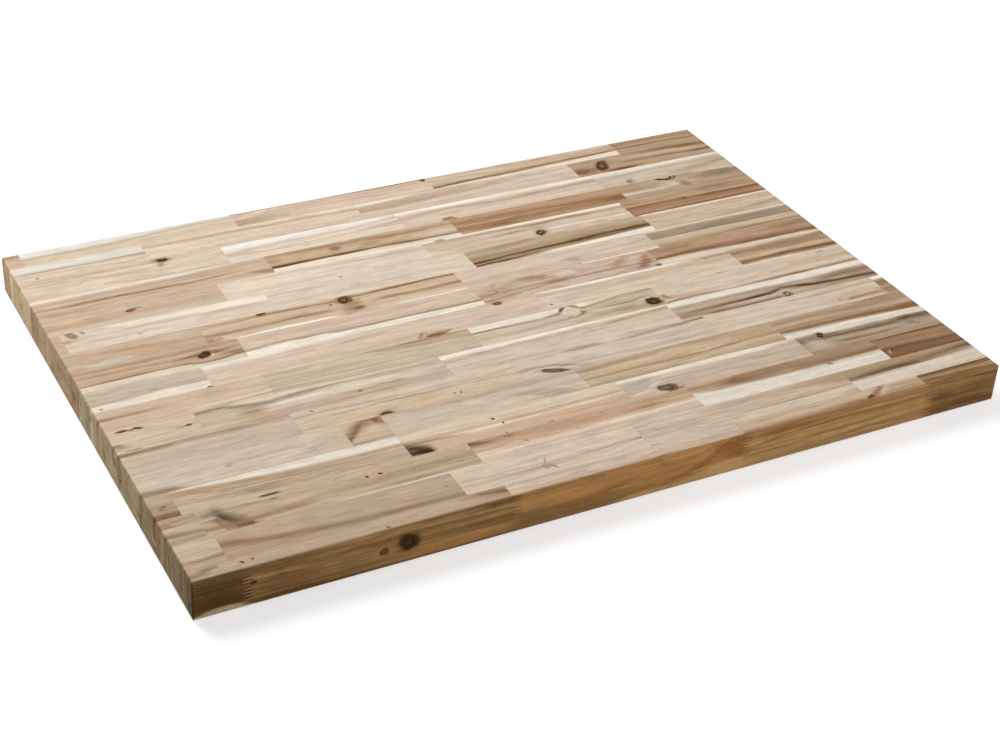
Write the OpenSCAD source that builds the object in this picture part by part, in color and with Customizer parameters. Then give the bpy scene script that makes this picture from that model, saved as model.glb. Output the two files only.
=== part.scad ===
// Butcher block countertop: an edge-grain panel glued up from staves, where each stave is a row of
// short blocks joined end to end by finger joints.
// The panel lies flat. X runs along the staves, +Y points to the back edge and +Z up. The origin
// is on the underside, below the middle of the panel.

/* [Panel] */
// Length of the panel, along the staves
panel_l = 914.4; // [500:0.1:1500]
// Thickness of the panel
panel_t = 44.45; // [25:0.05:60]
// Radius of the eased edges and corners
edge_r = 3; // [1:0.1:6]

/* [Staves] */
// Width of a full stave
stave_w = 38.7; // [25:0.1:60]
// Width left on the stave at the back edge, which was trimmed with the panel
back_stave_w = 33.9; // [15:0.1:60]
// Width left on the stave at the front edge, which was trimmed with the panel
front_stave_w = 19; // [12:0.1:60]
// Thickness of the glue between two pieces
glue_line = 0.1; // [0.05:0.01:0.3]

/* [Finger joints] */
// Length of a finger
finger_l = 11; // [6:0.5:20]
// Distance from one finger to the next, measured through the thickness
finger_pitch = 4; // [3:0.1:8]
// Width of the groove that takes a finger's tip
finger_tip_w = 0.8; // [0.5:0.1:1.2]
// Least solid wood between a joint and the end of the panel, so that no loose chip is left there
end_stub = 5; // [3:0.5:60]

/* [Hidden] */
NODES = [
    "stave_01", "stave_02", "stave_03", "stave_04", "stave_05", "stave_06",
    "stave_07", "stave_08", "stave_09", "stave_10", "stave_11", "stave_12",
    "stave_13", "stave_14", "stave_15", "stave_16", "stave_17"
];

$fn = 48;

// Tones of the sawn and sanded wood
cream = [0.86, 0.77, 0.66];
tan_wood = [0.80, 0.68, 0.55];
pink_tan = [0.80, 0.69, 0.60];
grey_tan = [0.74, 0.67, 0.58];
brown_tan = [0.69, 0.56, 0.43];

// The first stave is at the back edge and the last one at the front edge
last_stave = len(NODES);
panel_w = back_stave_w + front_stave_w + (last_stave - 2) * stave_w + (last_stave - 1) * glue_line;

// A finger fills its groove except for the glue around it
finger_root_width = finger_pitch - finger_tip_w - glue_line;
finger_tip_width = finger_tip_w - glue_line;
// Fingers above and below the middle one, enough to pass both faces of the panel
fingers_each_way = ceil(panel_t / finger_pitch / 2);

// Nearest that the middle of a joint comes to an end of the panel
joint_margin = end_stub + finger_l / 2;

function stave_width(row) =
    row == 1 ? back_stave_w : row == last_stave ? front_stave_w : stave_w;

// The stave's back face, seen from the back edge of the panel
function stave_back(row) =
    row == 1
        ? panel_w / 2
        : panel_w / 2 - back_stave_w - glue_line - (row - 2) * (stave_w + glue_line);

function reversed(points) = [for (i = [len(points) - 1 : -1 : 0]) points[i]];

// The sawn end of a block, from bottom to top, where the panel itself ends
function plain_end(x) = [[x, -finger_pitch], [x, panel_t + finger_pitch]];

// The fingers on one end of a block, from bottom to top. Side is 1 on the block's right end and -1
// on its left end, whose fingers stand half a pitch higher, in the grooves of the other block.
function fingered_end(x, side) = [
    for (i = [-fingers_each_way : fingers_each_way])
        let (
            z = panel_t / 2 + (side > 0 ? i : i + 0.5) * finger_pitch,
            root = x - side * finger_l / 2,
            tip = x + side * (finger_l / 2 - glue_line)
        )
        each [
            [root, z - finger_root_width / 2],
            [tip, z - finger_tip_width / 2],
            [tip, z + finger_tip_width / 2],
            [root, z + finger_root_width / 2]
        ]
];

// Outline of a block as seen from the front, between its left and right ends
module block_outline(left, right) {
    polygon(concat(
        right < panel_l ? fingered_end(right, 1) : plain_end(right),
        reversed(left > 0 ? fingered_end(left, -1) : plain_end(left))
    ));
}

// A rectangle with its four corners rounded to the radius of the eased edges
module eased_outline(width, height) {
    square([width - 2 * edge_r, height], center = true);
    square([width, height - 2 * edge_r], center = true);
    for (x = [-1, 1], y = [-1, 1])
        translate([x * (width / 2 - edge_r), y * (height / 2 - edge_r)])
            circle(edge_r);
}

// The finished panel's outer shape, rounded as seen from above, from the front and from the end
module eased_panel() {
    translate([0, 0, panel_t / 2])
        intersection() {
            linear_extrude(panel_t, center = true)
                eased_outline(panel_l, panel_w);
            rotate([90, 0, 0])
                linear_extrude(panel_w, center = true)
                    eased_outline(panel_l, panel_t);
            rotate([90, 0, 90])
                linear_extrude(panel_l, center = true)
                    eased_outline(panel_w, panel_t);
        }
}

// One stave of the panel. Joints are the places of its finger joints, measured from the left end of
// the panel to the middle of the fingers. The last block runs on to the right end.
module stave(row, joints) {
    kept = [for (x = joints) if (x >= joint_margin && x <= panel_l - joint_margin) x];
    ends = concat([0], kept, [panel_l]);
    intersection() {
        translate([-panel_l / 2, stave_back(row), 0])
            rotate([90, 0, 0])
                for (i = [0 : len(ends) - 2])
                    linear_extrude(stave_width(row))
                        block_outline(ends[i], ends[i + 1]);
        eased_panel();
    }
}

module stave_01() { color(pink_tan) stave(1, [24, 277, 532, 797]); }
module stave_02() { color(cream) stave(2, [157, 423, 717]); }
module stave_03() { color(pink_tan) stave(3, [239, 458, 729]); }
module stave_04() { color(tan_wood) stave(4, [277, 512, 742]); }
module stave_05() { color(pink_tan) stave(5, [206, 457, 726]); }
module stave_06() { color(cream) stave(6, [17, 248, 493, 733]); }
module stave_07() { color(grey_tan) stave(7, [156, 462, 714]); }
module stave_08() { color(pink_tan) stave(8, [186, 465, 695]); }
module stave_09() { color(tan_wood) stave(9, [132, 526, 783]); }
module stave_10() { color(grey_tan) stave(10, [185, 422, 654]); }
module stave_11() { color(tan_wood) stave(11, [97, 368, 650]); }
module stave_12() { color(pink_tan) stave(12, [184, 433, 675, 903]); }
module stave_13() { color(grey_tan) stave(13, [221, 266, 489, 735]); }
module stave_14() { color(tan_wood) stave(14, [31, 266, 517, 743]); }
module stave_15() { color(tan_wood) stave(15, [42, 325, 580, 818]); }
module stave_16() { color(cream) stave(16, [47, 287, 491, 749]); }
module stave_17() { color(brown_tan) stave(17, [53, 326, 590, 821]); }

stave_01();
stave_02();
stave_03();
stave_04();
stave_05();
stave_06();
stave_07();
stave_08();
stave_09();
stave_10();
stave_11();
stave_12();
stave_13();
stave_14();
stave_15();
stave_16();
stave_17();
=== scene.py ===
# %% [markdown]
# A butcher block countertop is a panel of solid wood. Seventeen long staves lie side by side, and
# each stave is a row of short blocks joined end to end. The shape comes ready from the CAD model,
# one object for each stave, so this lesson is about everything else: the camera, the light, and
# above all the wood. Every block was cut from another plank, so every block gets grain of its own.

# %% Load the panel
import math
from collections import namedtuple

import bpy
from mathutils import Matrix, Vector


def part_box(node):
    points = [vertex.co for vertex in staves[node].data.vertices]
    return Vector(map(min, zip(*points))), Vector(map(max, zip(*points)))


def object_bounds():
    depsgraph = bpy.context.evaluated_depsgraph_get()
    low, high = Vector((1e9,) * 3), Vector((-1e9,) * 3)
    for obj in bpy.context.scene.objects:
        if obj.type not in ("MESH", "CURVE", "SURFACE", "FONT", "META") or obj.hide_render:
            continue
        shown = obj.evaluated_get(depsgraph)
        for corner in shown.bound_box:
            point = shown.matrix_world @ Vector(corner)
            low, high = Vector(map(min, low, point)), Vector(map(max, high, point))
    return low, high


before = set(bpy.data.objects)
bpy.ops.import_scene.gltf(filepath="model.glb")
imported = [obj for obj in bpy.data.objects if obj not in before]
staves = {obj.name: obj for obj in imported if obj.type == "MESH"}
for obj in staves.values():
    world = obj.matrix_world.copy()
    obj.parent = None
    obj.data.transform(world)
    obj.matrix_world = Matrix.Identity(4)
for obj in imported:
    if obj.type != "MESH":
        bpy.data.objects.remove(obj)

cad_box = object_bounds()
print("staves", len(staves))
print("panel in mm", [round(1000 * side, 2) for side in cad_box[1] - cad_box[0]])

# %% [markdown]
# The staves keep the mesh of the CAD model, and only their finish is made here. The finish needs to
# know where things are in the wood, so the few lengths below are measured from the objects. A maker
# marks a board in millimetres from its left end, and the patterns below are set out the same way.

# %% Measure the panel
MM = 0.001
PANEL_LENGTH = (cad_box[1].x - cad_box[0].x) / MM
PANEL_THICKNESS = (cad_box[1].z - cad_box[0].z) / MM


def stave_name(number):
    return f"stave_{number:02d}"


def stave_back(number):
    """Where the back face of a stave is, in mm from the middle of the panel."""
    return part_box(stave_name(number))[1].y / MM


def stave_width(number):
    low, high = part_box(stave_name(number))
    return (high.y - low.y) / MM


print("widths", [round(stave_width(number), 1) for number in range(1, 18)])

# %% [markdown]
# The camera stands in front of the panel and to its left, a little over a metre up, and looks down
# at it by about 33 degrees. Its place comes from the seven corners that can be seen in the
# photograph. It is built from three directions: where it looks, what is right and what is up. The
# picture is turned by 3 degrees, as if the camera had been held slightly aslant.

# %% Place the camera
CAMERA_PLACE = Vector((-0.8557, -1.5720, 1.1063))
LOOKS_RIGHT = math.radians(29.07)
LOOKS_DOWN = math.radians(32.64)
TILT = math.radians(3.262)

forward = Vector((
    math.sin(LOOKS_RIGHT) * math.cos(LOOKS_DOWN),
    math.cos(LOOKS_RIGHT) * math.cos(LOOKS_DOWN),
    -math.sin(LOOKS_DOWN),
))
level_right = forward.cross(Vector((0, 0, 1))).normalized()
level_up = level_right.cross(forward)
camera_right = math.cos(TILT) * level_right + math.sin(TILT) * level_up
camera_up = math.cos(TILT) * level_up - math.sin(TILT) * level_right

lens = bpy.data.cameras.new("camera")
lens.lens = 67.86
lens.clip_start = 0.05
lens.clip_end = 100
camera = bpy.data.objects.new("camera", lens)
turn = Matrix((camera_right, camera_up, -forward)).transposed()
camera.matrix_world = Matrix.Translation(CAMERA_PLACE) @ turn.to_4x4()
bpy.context.scene.collection.objects.link(camera)
bpy.context.scene.camera = camera
print("camera distance in m", round(CAMERA_PLACE.length, 3))

# %% [markdown]
# In Blender's node editor, shader maths is a web of small boxes. In a script it reads better as
# plain sums. The class Wire wraps one output of a node, and its operators add the Math node that
# the sum needs, so `1 - mask` is a Subtract node. Every other node comes from the one method
# `node` of a Sheet, which is a material with its node tree.

# %% A material whose nodes are written as sums


class Wire:
    """One output of a node, which can be used in a sum."""

    def __init__(self, sheet, socket):
        self.sheet = sheet
        self.socket = socket

    def maths(self, operation, *values):
        settings = {"operation": operation}
        return self.sheet.node("ShaderNodeMath", settings, dict(enumerate(values)))

    def __add__(self, other):
        return self.maths("ADD", self, other)

    def __radd__(self, other):
        return self.maths("ADD", other, self)

    def __sub__(self, other):
        return self.maths("SUBTRACT", self, other)

    def __rsub__(self, other):
        return self.maths("SUBTRACT", other, self)

    def __mul__(self, other):
        return self.maths("MULTIPLY", self, other)

    def __rmul__(self, other):
        return self.maths("MULTIPLY", other, self)

    def __truediv__(self, other):
        return self.maths("DIVIDE", self, other)

    def __gt__(self, other):
        return self.maths("GREATER_THAN", self, other)

    def __abs__(self):
        return self.maths("ABSOLUTE", self)


class Sheet:
    """A material and the tree of nodes that paints it."""

    def __init__(self, name):
        self.material = bpy.data.materials.new(name)
        self.material.use_nodes = True
        self.tree = self.material.node_tree
        self.tree.nodes.clear()

    def node(self, kind, settings, sockets, output=0):
        made = self.tree.nodes.new(kind)
        for name, value in settings.items():
            if name == "stops":
                fill_ramp(made.color_ramp, value)
            elif name == "between_stops":
                made.color_ramp.interpolation = value
            else:
                setattr(made, name, value)
        for name, value in sockets.items():
            if isinstance(value, Wire):
                self.tree.links.new(value.socket, made.inputs[name])
            else:
                made.inputs[name].default_value = value
        return Wire(self, made.outputs[output])

    def show(self, surface):
        """Makes this surface the one that the material shows."""
        end = self.tree.nodes.new("ShaderNodeOutputMaterial")
        self.tree.links.new(surface.socket, end.inputs["Surface"])
        return self.material


def fill_ramp(ramp, stops):
    """Gives a colour ramp its stops, each a place from 0 to 1 and four numbers."""
    ramp.elements.remove(ramp.elements[1])
    for number, (place, value) in enumerate(stops):
        stop = ramp.elements[0] if number == 0 else ramp.elements.new(place)
        stop.position = place
        stop.color = value


print("a sheet starts with", len(Sheet("empty sheet").tree.nodes), "nodes")

# %% [markdown]
# The panel lies on a plain pale floor. To the camera the floor should look white, as the paper
# behind a product does, and still take the soft shadow of the panel. So the floor glows a little,
# but only for rays that come from the camera or through a reflection: the glow lights nothing.

# %% Lay the floor
bpy.ops.object.select_all(action="DESELECT")
bpy.ops.mesh.primitive_plane_add(size=30, location=(0, 0, -0.0002))
floor = bpy.context.object
floor.name = "floor"


def seen_directly(sheet):
    """1 for rays that the camera sees, also by reflection or through glass, and 0 for others."""
    seen = sheet.node("ShaderNodeLightPath", {}, {}, "Is Camera Ray")
    for kind in ("Is Glossy Ray", "Is Transmission Ray"):
        seen = seen.maths("MAXIMUM", seen, sheet.node("ShaderNodeLightPath", {}, {}, kind))
    return seen


paper = Sheet("white paper")
paper_surface = paper.node("ShaderNodeBsdfPrincipled", {}, {
    "Base Color": (0.62, 0.62, 0.62, 1),
    "Roughness": 0.9,
    "Specular IOR Level": 0.1,
    "Emission Color": (1, 1, 1, 1),
    "Emission Strength": seen_directly(paper) * 0.60,
})
floor.data.materials.append(paper.show(paper_surface))
print("floor in m", [round(side, 1) for side in floor.dimensions])

# %% [markdown]
# The light is soft and comes from behind and from the left, as from a window there. The left end
# and the back left corner are the brightest, and the front face is in its own shade. A wide lamp
# gives this, with a low one beside the left end and a weaker one in front that keeps the shade
# open. The world fills in the rest.
# Together they light the top so that a colour looks about as it is written in the palette.

# %% Hang the lamps


def hang_lamp(name, place, aim, width, watts, colour):
    """A square lamp that hangs at a place and shines towards another."""
    light = bpy.data.lights.new(name, "AREA")
    light.size = width
    light.energy = watts
    light.color = colour
    lamp = bpy.data.objects.new(name, light)
    lamp.location = place
    lamp.rotation_euler = (Vector(aim) - Vector(place)).to_track_quat("-Z", "Y").to_euler()
    bpy.context.scene.collection.objects.link(lamp)
    return lamp


hang_lamp("window", (-0.75, 1.85, 2.35), (-0.05, 0.05, 0), 1.6, 78, (1.0, 0.99, 0.985))
hang_lamp("side", (-0.85, 0.72, 0.13), (-0.457, 0.15, 0.02), 0.16, 3.5, (1.0, 0.98, 0.95))
hang_lamp("fill", (1.3, -1.7, 1.1), (0.1, 0, 0), 1.5, 9, (1.0, 0.98, 0.95))

world = bpy.data.worlds.new("soft sky")
bpy.context.scene.world = world
world.use_nodes = True
sky = world.node_tree.nodes["Background"]
sky.inputs["Color"].default_value = (1, 1, 1, 1)
path = world.node_tree.nodes.new("ShaderNodeLightPath")
# The sky is white where it is seen, and lights the panel with only part of that strength
SKY_LIGHT = 0.275
seen = path.outputs["Is Camera Ray"]
for kind in ("Is Glossy Ray", "Is Transmission Ray"):
    either = world.node_tree.nodes.new("ShaderNodeMath")
    either.operation = "MAXIMUM"
    world.node_tree.links.new(seen, either.inputs[0])
    world.node_tree.links.new(path.outputs[kind], either.inputs[1])
    seen = either.outputs[0]
strength = world.node_tree.nodes.new("ShaderNodeMapRange")
strength.inputs["To Min"].default_value = SKY_LIGHT
strength.inputs["To Max"].default_value = 1
world.node_tree.links.new(seen, strength.inputs["Value"])
world.node_tree.links.new(strength.outputs["Result"], sky.inputs["Strength"])

bpy.context.scene.view_settings.view_transform = "Standard"
print("lamps", [o.name for o in bpy.context.scene.objects if o.type == "LIGHT"])

# %% [markdown]
# One kind of wood can give very different planks. Sapwood is cream, heartwood goes from pinkish
# beige to brown, and knots are nearly black. The palette below has one name for each tone that the
# panel shows. They are written from 0 to 255, as on a paint chart. Blender's nodes work with the
# amount of light instead, which is what `tone` turns them into.

# %% Mix the palette


def tone(red, green, blue):
    """A colour from 0 to 255 turned into the amounts of light that a node wants."""
    parts = []
    for value in (red, green, blue):
        value = value / 255
        parts.append(value / 12.92 if value <= 0.04045 else ((value + 0.055) / 1.055) ** 2.4)
    return (*parts, 1)


CREAM = tone(243, 235, 221)
# Cream sapwood darkened with painted shade, for the back left staves where the light falls strongest
SHADED_CREAM = tone(224, 219, 211)
IVORY = tone(230, 217, 198)
PALE_BEIGE = tone(218, 201, 180)
PINK_BEIGE = tone(217, 197, 179)
GREY_BEIGE = tone(209, 196, 178)
OLIVE_CREAM = tone(215, 202, 177)
PINK_TAN = tone(209, 185, 163)
WARM_TAN = tone(213, 188, 157)
TAN = tone(201, 176, 148)
OLIVE_TAN = tone(194, 175, 147)
GREY_GREEN = tone(189, 178, 160)
GREY_TAN = tone(187, 169, 149)
BROWN_TAN = tone(180, 152, 122)
RED_TAN = tone(192, 157, 129)
ORANGE = tone(206, 158, 108)
BROWN = tone(150, 120, 90)
WALNUT = tone(132, 98, 58)
RED_BROWN = tone(160, 115, 82)
GREY_BROWN = tone(142, 121, 96)
DARK_LINE = tone(110, 80, 46)
SMOKE = tone(98, 79, 61)
DARK = tone(74, 45, 18)
BLACK = tone(46, 27, 9)
print("cream as light", [round(part, 3) for part in CREAM[:3]])

# %% [markdown]
# A plank is described by its pale and its dark tone, and by where the heart of its tree was. The
# growth rings are circles round that heart. A far heart gives straight even lines, and a heart
# just below the face gives the wide flames that carpenters call cathedrals. Oil soaks into every
# plank differently, and six names cover how bright and how warm the planks come out. These washes
# also hold painted light and shade: planks left of the middle are made brighter, and those to the
# right and at the far left end darker, as the light fell across the panel. Knots are described by
# their place and size, in mm from the left end of the panel and from the back of the stave.

# %% Describe a plank and a knot
# Brightness and warmth of each plank's wash: its oil tone together with painted light and shade
BRIGHTEST_WASH = (1.14, 0.01)
PALE = (1.06, 0.01)
PLAIN = (0.99, 0.02)
HONEY = (0.92, 0.03)
AMBER = (0.84, 0.07)
DARKEST_WASH = (0.70, 0.10)
Plank = namedtuple("Plank", "light dark heart slope ring oil")
Knot = namedtuple("Knot", "along across length width tilt core halo spread open face")


def plank(light, dark, heart=(-60, 30), slope=0.0, ring=7, oil=PLAIN):
    """Heart is mm across and deep, slope mm sideways for each mm along, ring a year's growth."""
    return Plank(light, dark, heart, slope, ring, oil)


def knot(along, across, length, width, tilt=0, core=DARK, halo=BROWN, spread=2.2, open=0.5, face="top"):
    """Half sizes in mm, how much wider the halo is, and how much of it shows between the arcs."""
    return Knot(along, across, length, width, tilt, core, halo, spread, open, face)


print("a plain plank", plank(PALE_BEIGE, TAN).ring, "mm rings")

# %% [markdown]
# A Stave is a Sheet that knows where it is in the wood. It turns the Object coordinates into mm:
# along the stave from the left end, across it from its back, and deep below the top. The zigzag of
# the finger joints is a Ping-Pong node on the depth, so the pattern changes from one block to the
# next exactly where the joint is, also on the side where the fingers show.

# %% Find the place in the wood
FINGER_LENGTH = 11
FINGER_PITCH = 4
LANE = 50


class Stave(Sheet):
    """The wood of one stave, painted block by block."""

    def __init__(self, number, joints, planks, knots=()):
        super().__init__(f"wood of {stave_name(number)}")
        self.number = number
        self.planks = planks
        self.knots = knots
        self.noises = 0
        corner = (PANEL_LENGTH / 2, stave_back(number), PANEL_THICKNESS)
        objects = self.node("ShaderNodeTexCoord", {}, {}, "Object")
        self.place = self.vector("MULTIPLY_ADD", objects, (1000, -1000, -1000), corner)
        self.along, self.across, self.deep = self.parts(self.place)
        self.far = self.along * (1 / PANEL_LENGTH)
        self.block = self.count_joints(joints)
        blocks = range(len(planks))
        self.only = [self.block.maths("COMPARE", self.block, which, 0.5) for which in blocks]
        self.bend_grain()
        self.grow_rings()

    def vector(self, operation, *values, output=0):
        settings = {"operation": operation}
        return self.node("ShaderNodeVectorMath", settings, dict(enumerate(values)), output)

    def parts(self, wire):
        """The three numbers of a vector."""
        made = self.node("ShaderNodeSeparateXYZ", {}, {0: wire})
        return [Wire(self, output) for output in made.socket.node.outputs]

    def ease(self, value, start, end, low=0, high=1):
        """Goes softly from low to high as the value goes from start to end."""
        settings = {"interpolation_type": "SMOOTHSTEP"}
        return self.node("ShaderNodeMapRange", settings, dict(enumerate((value, start, end, low, high))))

    def mix(self, share, one, other):
        """One colour, with a share of another laid over it."""
        return self.node("ShaderNodeMix", {"data_type": "RGBA"}, {0: share, 6: one, 7: other}, 2)

    def count_joints(self, joints):
        """The number of joints to the left of each point, so 0 in the first block."""
        middle = self.deep - PANEL_THICKNESS / 2
        step = middle.maths("PINGPONG", middle, FINGER_PITCH / 2)
        zigzag = self.node("ShaderNodeMapRange", {}, dict(enumerate((step, 0.4, 1.6, 1, -1))))
        side = self.along - zigzag * (FINGER_LENGTH / 2)
        block = side > joints[0]
        for joint in joints[1:]:
            block = block + (side > joint)
        return block


print("joint steps of", FINGER_PITCH, "mm through", round(PANEL_THICKNESS, 2), "mm")

# %% [markdown]
# No line in wood is straight, so everything is drawn on slightly bent coordinates. The bend is a
# soft noise, long along the grain and short across it, and it starts afresh in every block.
# Round a knot the grain steps aside: there the coordinate across the stave is squeezed towards
# the knot, which pushes the lines out round it.

# %% Bend the grain


def noise(self, size, detail, roughness=0.5, output=0):
    """Noise whose lumps have this size in mm: along, across and deep."""
    self.noises += 1
    fineness = [1 / side for side in size]
    shift = (7.3 * self.number, 5.9 * self.noises, 3.7 * self.number + 4.1 * self.noises)
    spot = self.vector("MULTIPLY_ADD", self.plank_place, fineness, shift)
    sockets = {"Vector": spot, "Scale": 1.0, "Detail": detail, "Roughness": roughness}
    return self.node("ShaderNodeTexNoise", {}, sockets, output)


def reach(self, mark):
    """How far a point is from the middle of a mark: 1 is on its outline."""
    spot = self.spots[mark.face]
    middle = (mark.along, mark.across, 0)
    if mark.tilt:
        sockets = {"Vector": spot, "Center": middle, "Angle": math.radians(mark.tilt)}
        spot = self.node("ShaderNodeVectorRotate", {"rotation_type": "Z_AXIS"}, sockets)
    size = (1 / mark.length, 1 / mark.width, 0)
    start = (-mark.along / mark.length, -mark.across / mark.width, 0)
    return self.vector("LENGTH", self.vector("MULTIPLY_ADD", spot, size, start), output=1)


def bend_grain(self):
    self.plank_place = self.vector("MULTIPLY_ADD", self.block, (411, 97, 53), self.place)
    bend = self.noise((100, 22, 22), 2.5, 0.55, 1)
    self.sway = self.vector("SUBTRACT", bend, (0.5, 0.5, 0.5))
    bent = self.vector("MULTIPLY_ADD", self.sway, (9, 5, 5), self.place)
    along, across, deep = self.parts(bent)
    flat = self.node("ShaderNodeCombineXYZ", {}, {0: along, 1: deep})
    sawn = self.node("ShaderNodeCombineXYZ", {}, {0: across, 1: deep})
    self.spots = {"top": bent, "front": flat, "back": flat, "end": sawn}
    half = PANEL_LENGTH / 2
    self.end = self.ease(abs(self.along - half), half - 2.2, half - 0.8)
    self.reaches = []
    lanes = {"top": across + deep * 0.12, "front": deep}
    for mark in self.knots:
        away = self.reach(mark)
        self.reaches.append(away)
        lane = lanes[mark.face]
        pull = self.ease(away, 2.8, 0.3, 0, 0.62)
        lanes[mark.face] = lane - (lane - mark.across) * pull
    self.lane = lanes["top"]
    self.lanes = {face: lane * (1 / LANE) for face, lane in lanes.items()}
    self.fibre = self.noise((36, 0.9, 0.9), 3, 0.65)
    self.streaks = self.noise((150, 3.0, 3.0), 2, 0.6)
    self.ragged = (self.fibre * 5 + self.streaks * 6 - 5.5) * (1 / LANE)
    self.uneven = self.ease(self.noise((46, 5, 5), 2), 0.30, 0.56, 0.60, 1)
    self.torn = self.noise((7, 4.5, 4.5), 2, 0.6) - 0.5
    self.shallow = self.ease(self.deep, 32, 12)
    # The back face of stave 1, where only painted shade is laid
    if self.number == 1:
        self.back = self.ease(self.across, 1.9, 0.5)
    if self.number == 17:
        self.front = self.ease(self.across, stave_width(17) - 1.9, stave_width(17) - 0.5)


Stave.noise = noise
Stave.reach = reach
Stave.bend_grain = bend_grain
print("lanes are measured in parts of", LANE, "mm")

# %% [markdown]
# The rings are noise along one line only, read at the distance from the heart, so years differ
# as they do in a tree. They move the colour between the pale and the dark tone of the plank, and
# thinner lines of late wood come on top. The same rings come out as long streaks on the faces and
# as arcs on the end grain, because the pattern fills the wood and isn't wrapped round it.

# %% Grow the rings
HEART_SPAN = 300
SLOPE_SPAN = 0.4
RING_SPAN = 25


def by_block(self, values, output=0):
    """A colour ramp without blending, which gives each block its own four numbers."""
    count = len(values)
    stops = [(which / count, value) for which, value in enumerate(values)]
    settings = {"stops": stops, "between_stops": "CONSTANT"}
    where = self.block.maths("MULTIPLY_ADD", self.block, 1 / count, 0.5 / count)
    return self.node("ShaderNodeValToRGB", settings, {0: where}, output)


def grow_rings(self):
    packed = []
    for one in self.planks:
        heart = [side / HEART_SPAN + 0.5 for side in one.heart]
        packed.append((*heart, one.slope / SLOPE_SPAN + 0.5, one.ring / RING_SPAN))
    ramp = self.by_block(packed)
    ring = Wire(self, ramp.socket.node.outputs[1]) * RING_SPAN
    low = (-HEART_SPAN / 2, -HEART_SPAN / 2, -SLOPE_SPAN / 2)
    unpacked = self.vector("MULTIPLY_ADD", ramp, (HEART_SPAN, HEART_SPAN, SLOPE_SPAN), low)
    heart_across, heart_deep, slope = self.parts(unpacked)
    side = self.lane - heart_across + (self.along - PANEL_LENGTH / 2) * slope
    drop = self.deep - heart_deep
    spoke = self.node("ShaderNodeCombineXYZ", {}, {1: side, 2: drop})
    spoke = self.vector("MULTIPLY_ADD", self.sway, (0, 22, 22), spoke)
    years = self.vector("LENGTH", spoke, output=1) / ring
    years = years + self.block * 9.7 + 3.3 * self.number
    line = {"noise_dimensions": "1D"}
    season = self.node("ShaderNodeTexNoise", line, {"W": years, "Scale": 1, "Detail": 2, "Roughness": 0.6})
    late = self.node("ShaderNodeTexNoise", line, {"W": years, "Scale": 3.1, "Detail": 1, "Roughness": 0.5})
    self.late_wood = self.ease(late, 0.56, 0.74)
    light = self.by_block([one.light for one in self.planks])
    dark = self.by_block([one.dark for one in self.planks])
    self.paint = self.mix(self.ease(season, 0.36, 0.64), light, dark)
    self.paint = self.mix(self.late_wood * 0.26, self.paint, BROWN)


Stave.by_block = by_block
Stave.grow_rings = grow_rings
print("rings up to", RING_SPAN, "mm wide")

# %% [markdown]
# On top of the rings come the marks that make one block differ from the next: the border of the
# sapwood, dark lines and bands, clouds and pin knots. A colour ramp read along the stave holds the
# course of such a mark, as a maker would draw it with a pencil. Its red is how far across the mark
# lies and its green is how strong it is there, so one node does the work of two curves.

# %% Draw lines and borders


def course(self, run):
    """Place across and strength of a mark, from (along, across, strength) for a few places."""
    stops = [(along / PANEL_LENGTH, (across / LANE, strength, 0, 1)) for along, across, strength in run]
    return self.parts(self.node("ShaderNodeValToRGB", {"stops": stops}, {0: self.far}))[:2]


def lay(self, share, block, colour, face):
    """Lays a colour over the paint of one block: on the top, or on an outer face of the panel."""
    share = share * self.only[block - 1]
    if face == "end":
        share = share * self.end
    # The back face takes only painted shade
    elif face == "back":
        share = share * self.back
    elif self.number == 17:
        share = share * (self.front if face == "front" else 1 - self.front)
    self.paint = self.mix(share, self.paint, colour)


def line(self, block, run, colour, width=2.0, face="top"):
    """A line or band along the block, this many mm to each side of its middle."""
    across, strength = self.course(run)
    away = abs(self.lanes[face] - across + self.ragged)
    share = self.ease(away, width * 1.6 / LANE, 0) * strength * self.uneven
    self.lay(share, block, colour, face)


def border(self, block, run, colour, blur=1.5, side="back", face="top"):
    """Colours all that lies to the back or to the front of a border along the block."""
    across, strength = self.course(run)
    beyond = self.lanes[face] - across + self.ragged * 0.6
    soft = blur / LANE if side == "front" else -blur / LANE
    self.lay(self.ease(beyond, -soft, soft) * strength, block, colour, face)


Stave.course = course
Stave.lay = lay
Stave.line = line
Stave.border = border
print("a line is drawn with", Stave.line.__name__, "and sapwood with", Stave.border.__name__)

# %% [markdown]
# A cloud is a soft oval stain and a dot is a small hard one, such as a pin knot. A real knot is a
# branch that was cut across, so it has more to it: a stain round it, a dark rim, shell-like arcs
# of its own rings, and a nearly black crack. All are made from one measure, the reach: 0 in the
# middle, 1 on the outline. A lumpy noise is added to it, which tears the outline. They fade out
# deep in the wood, so the underside doesn't repeat the top.

# %% Draw clouds, dots and knots


def cloud(self, block, along, across, length, width, colour, strength, tilt=0, face="top"):
    mark = knot(along, across, length, width, tilt, face=face)
    share = self.ease(self.reach(mark) + self.torn, 1.25, 0.15) * strength * self.uneven
    self.lay(share, block, colour, face)


def dot(self, block, along, across, length=2.0, width=1.3, tilt=0, colour=DARK, face="top"):
    mark = knot(along, across, length, width, tilt, face=face)
    share = self.ease(self.reach(mark) + self.torn * 1.2, 1.2, 0.55) * 0.95
    if face != "end":
        share = share * self.shallow
    self.lay(share, block, colour, face)


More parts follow.
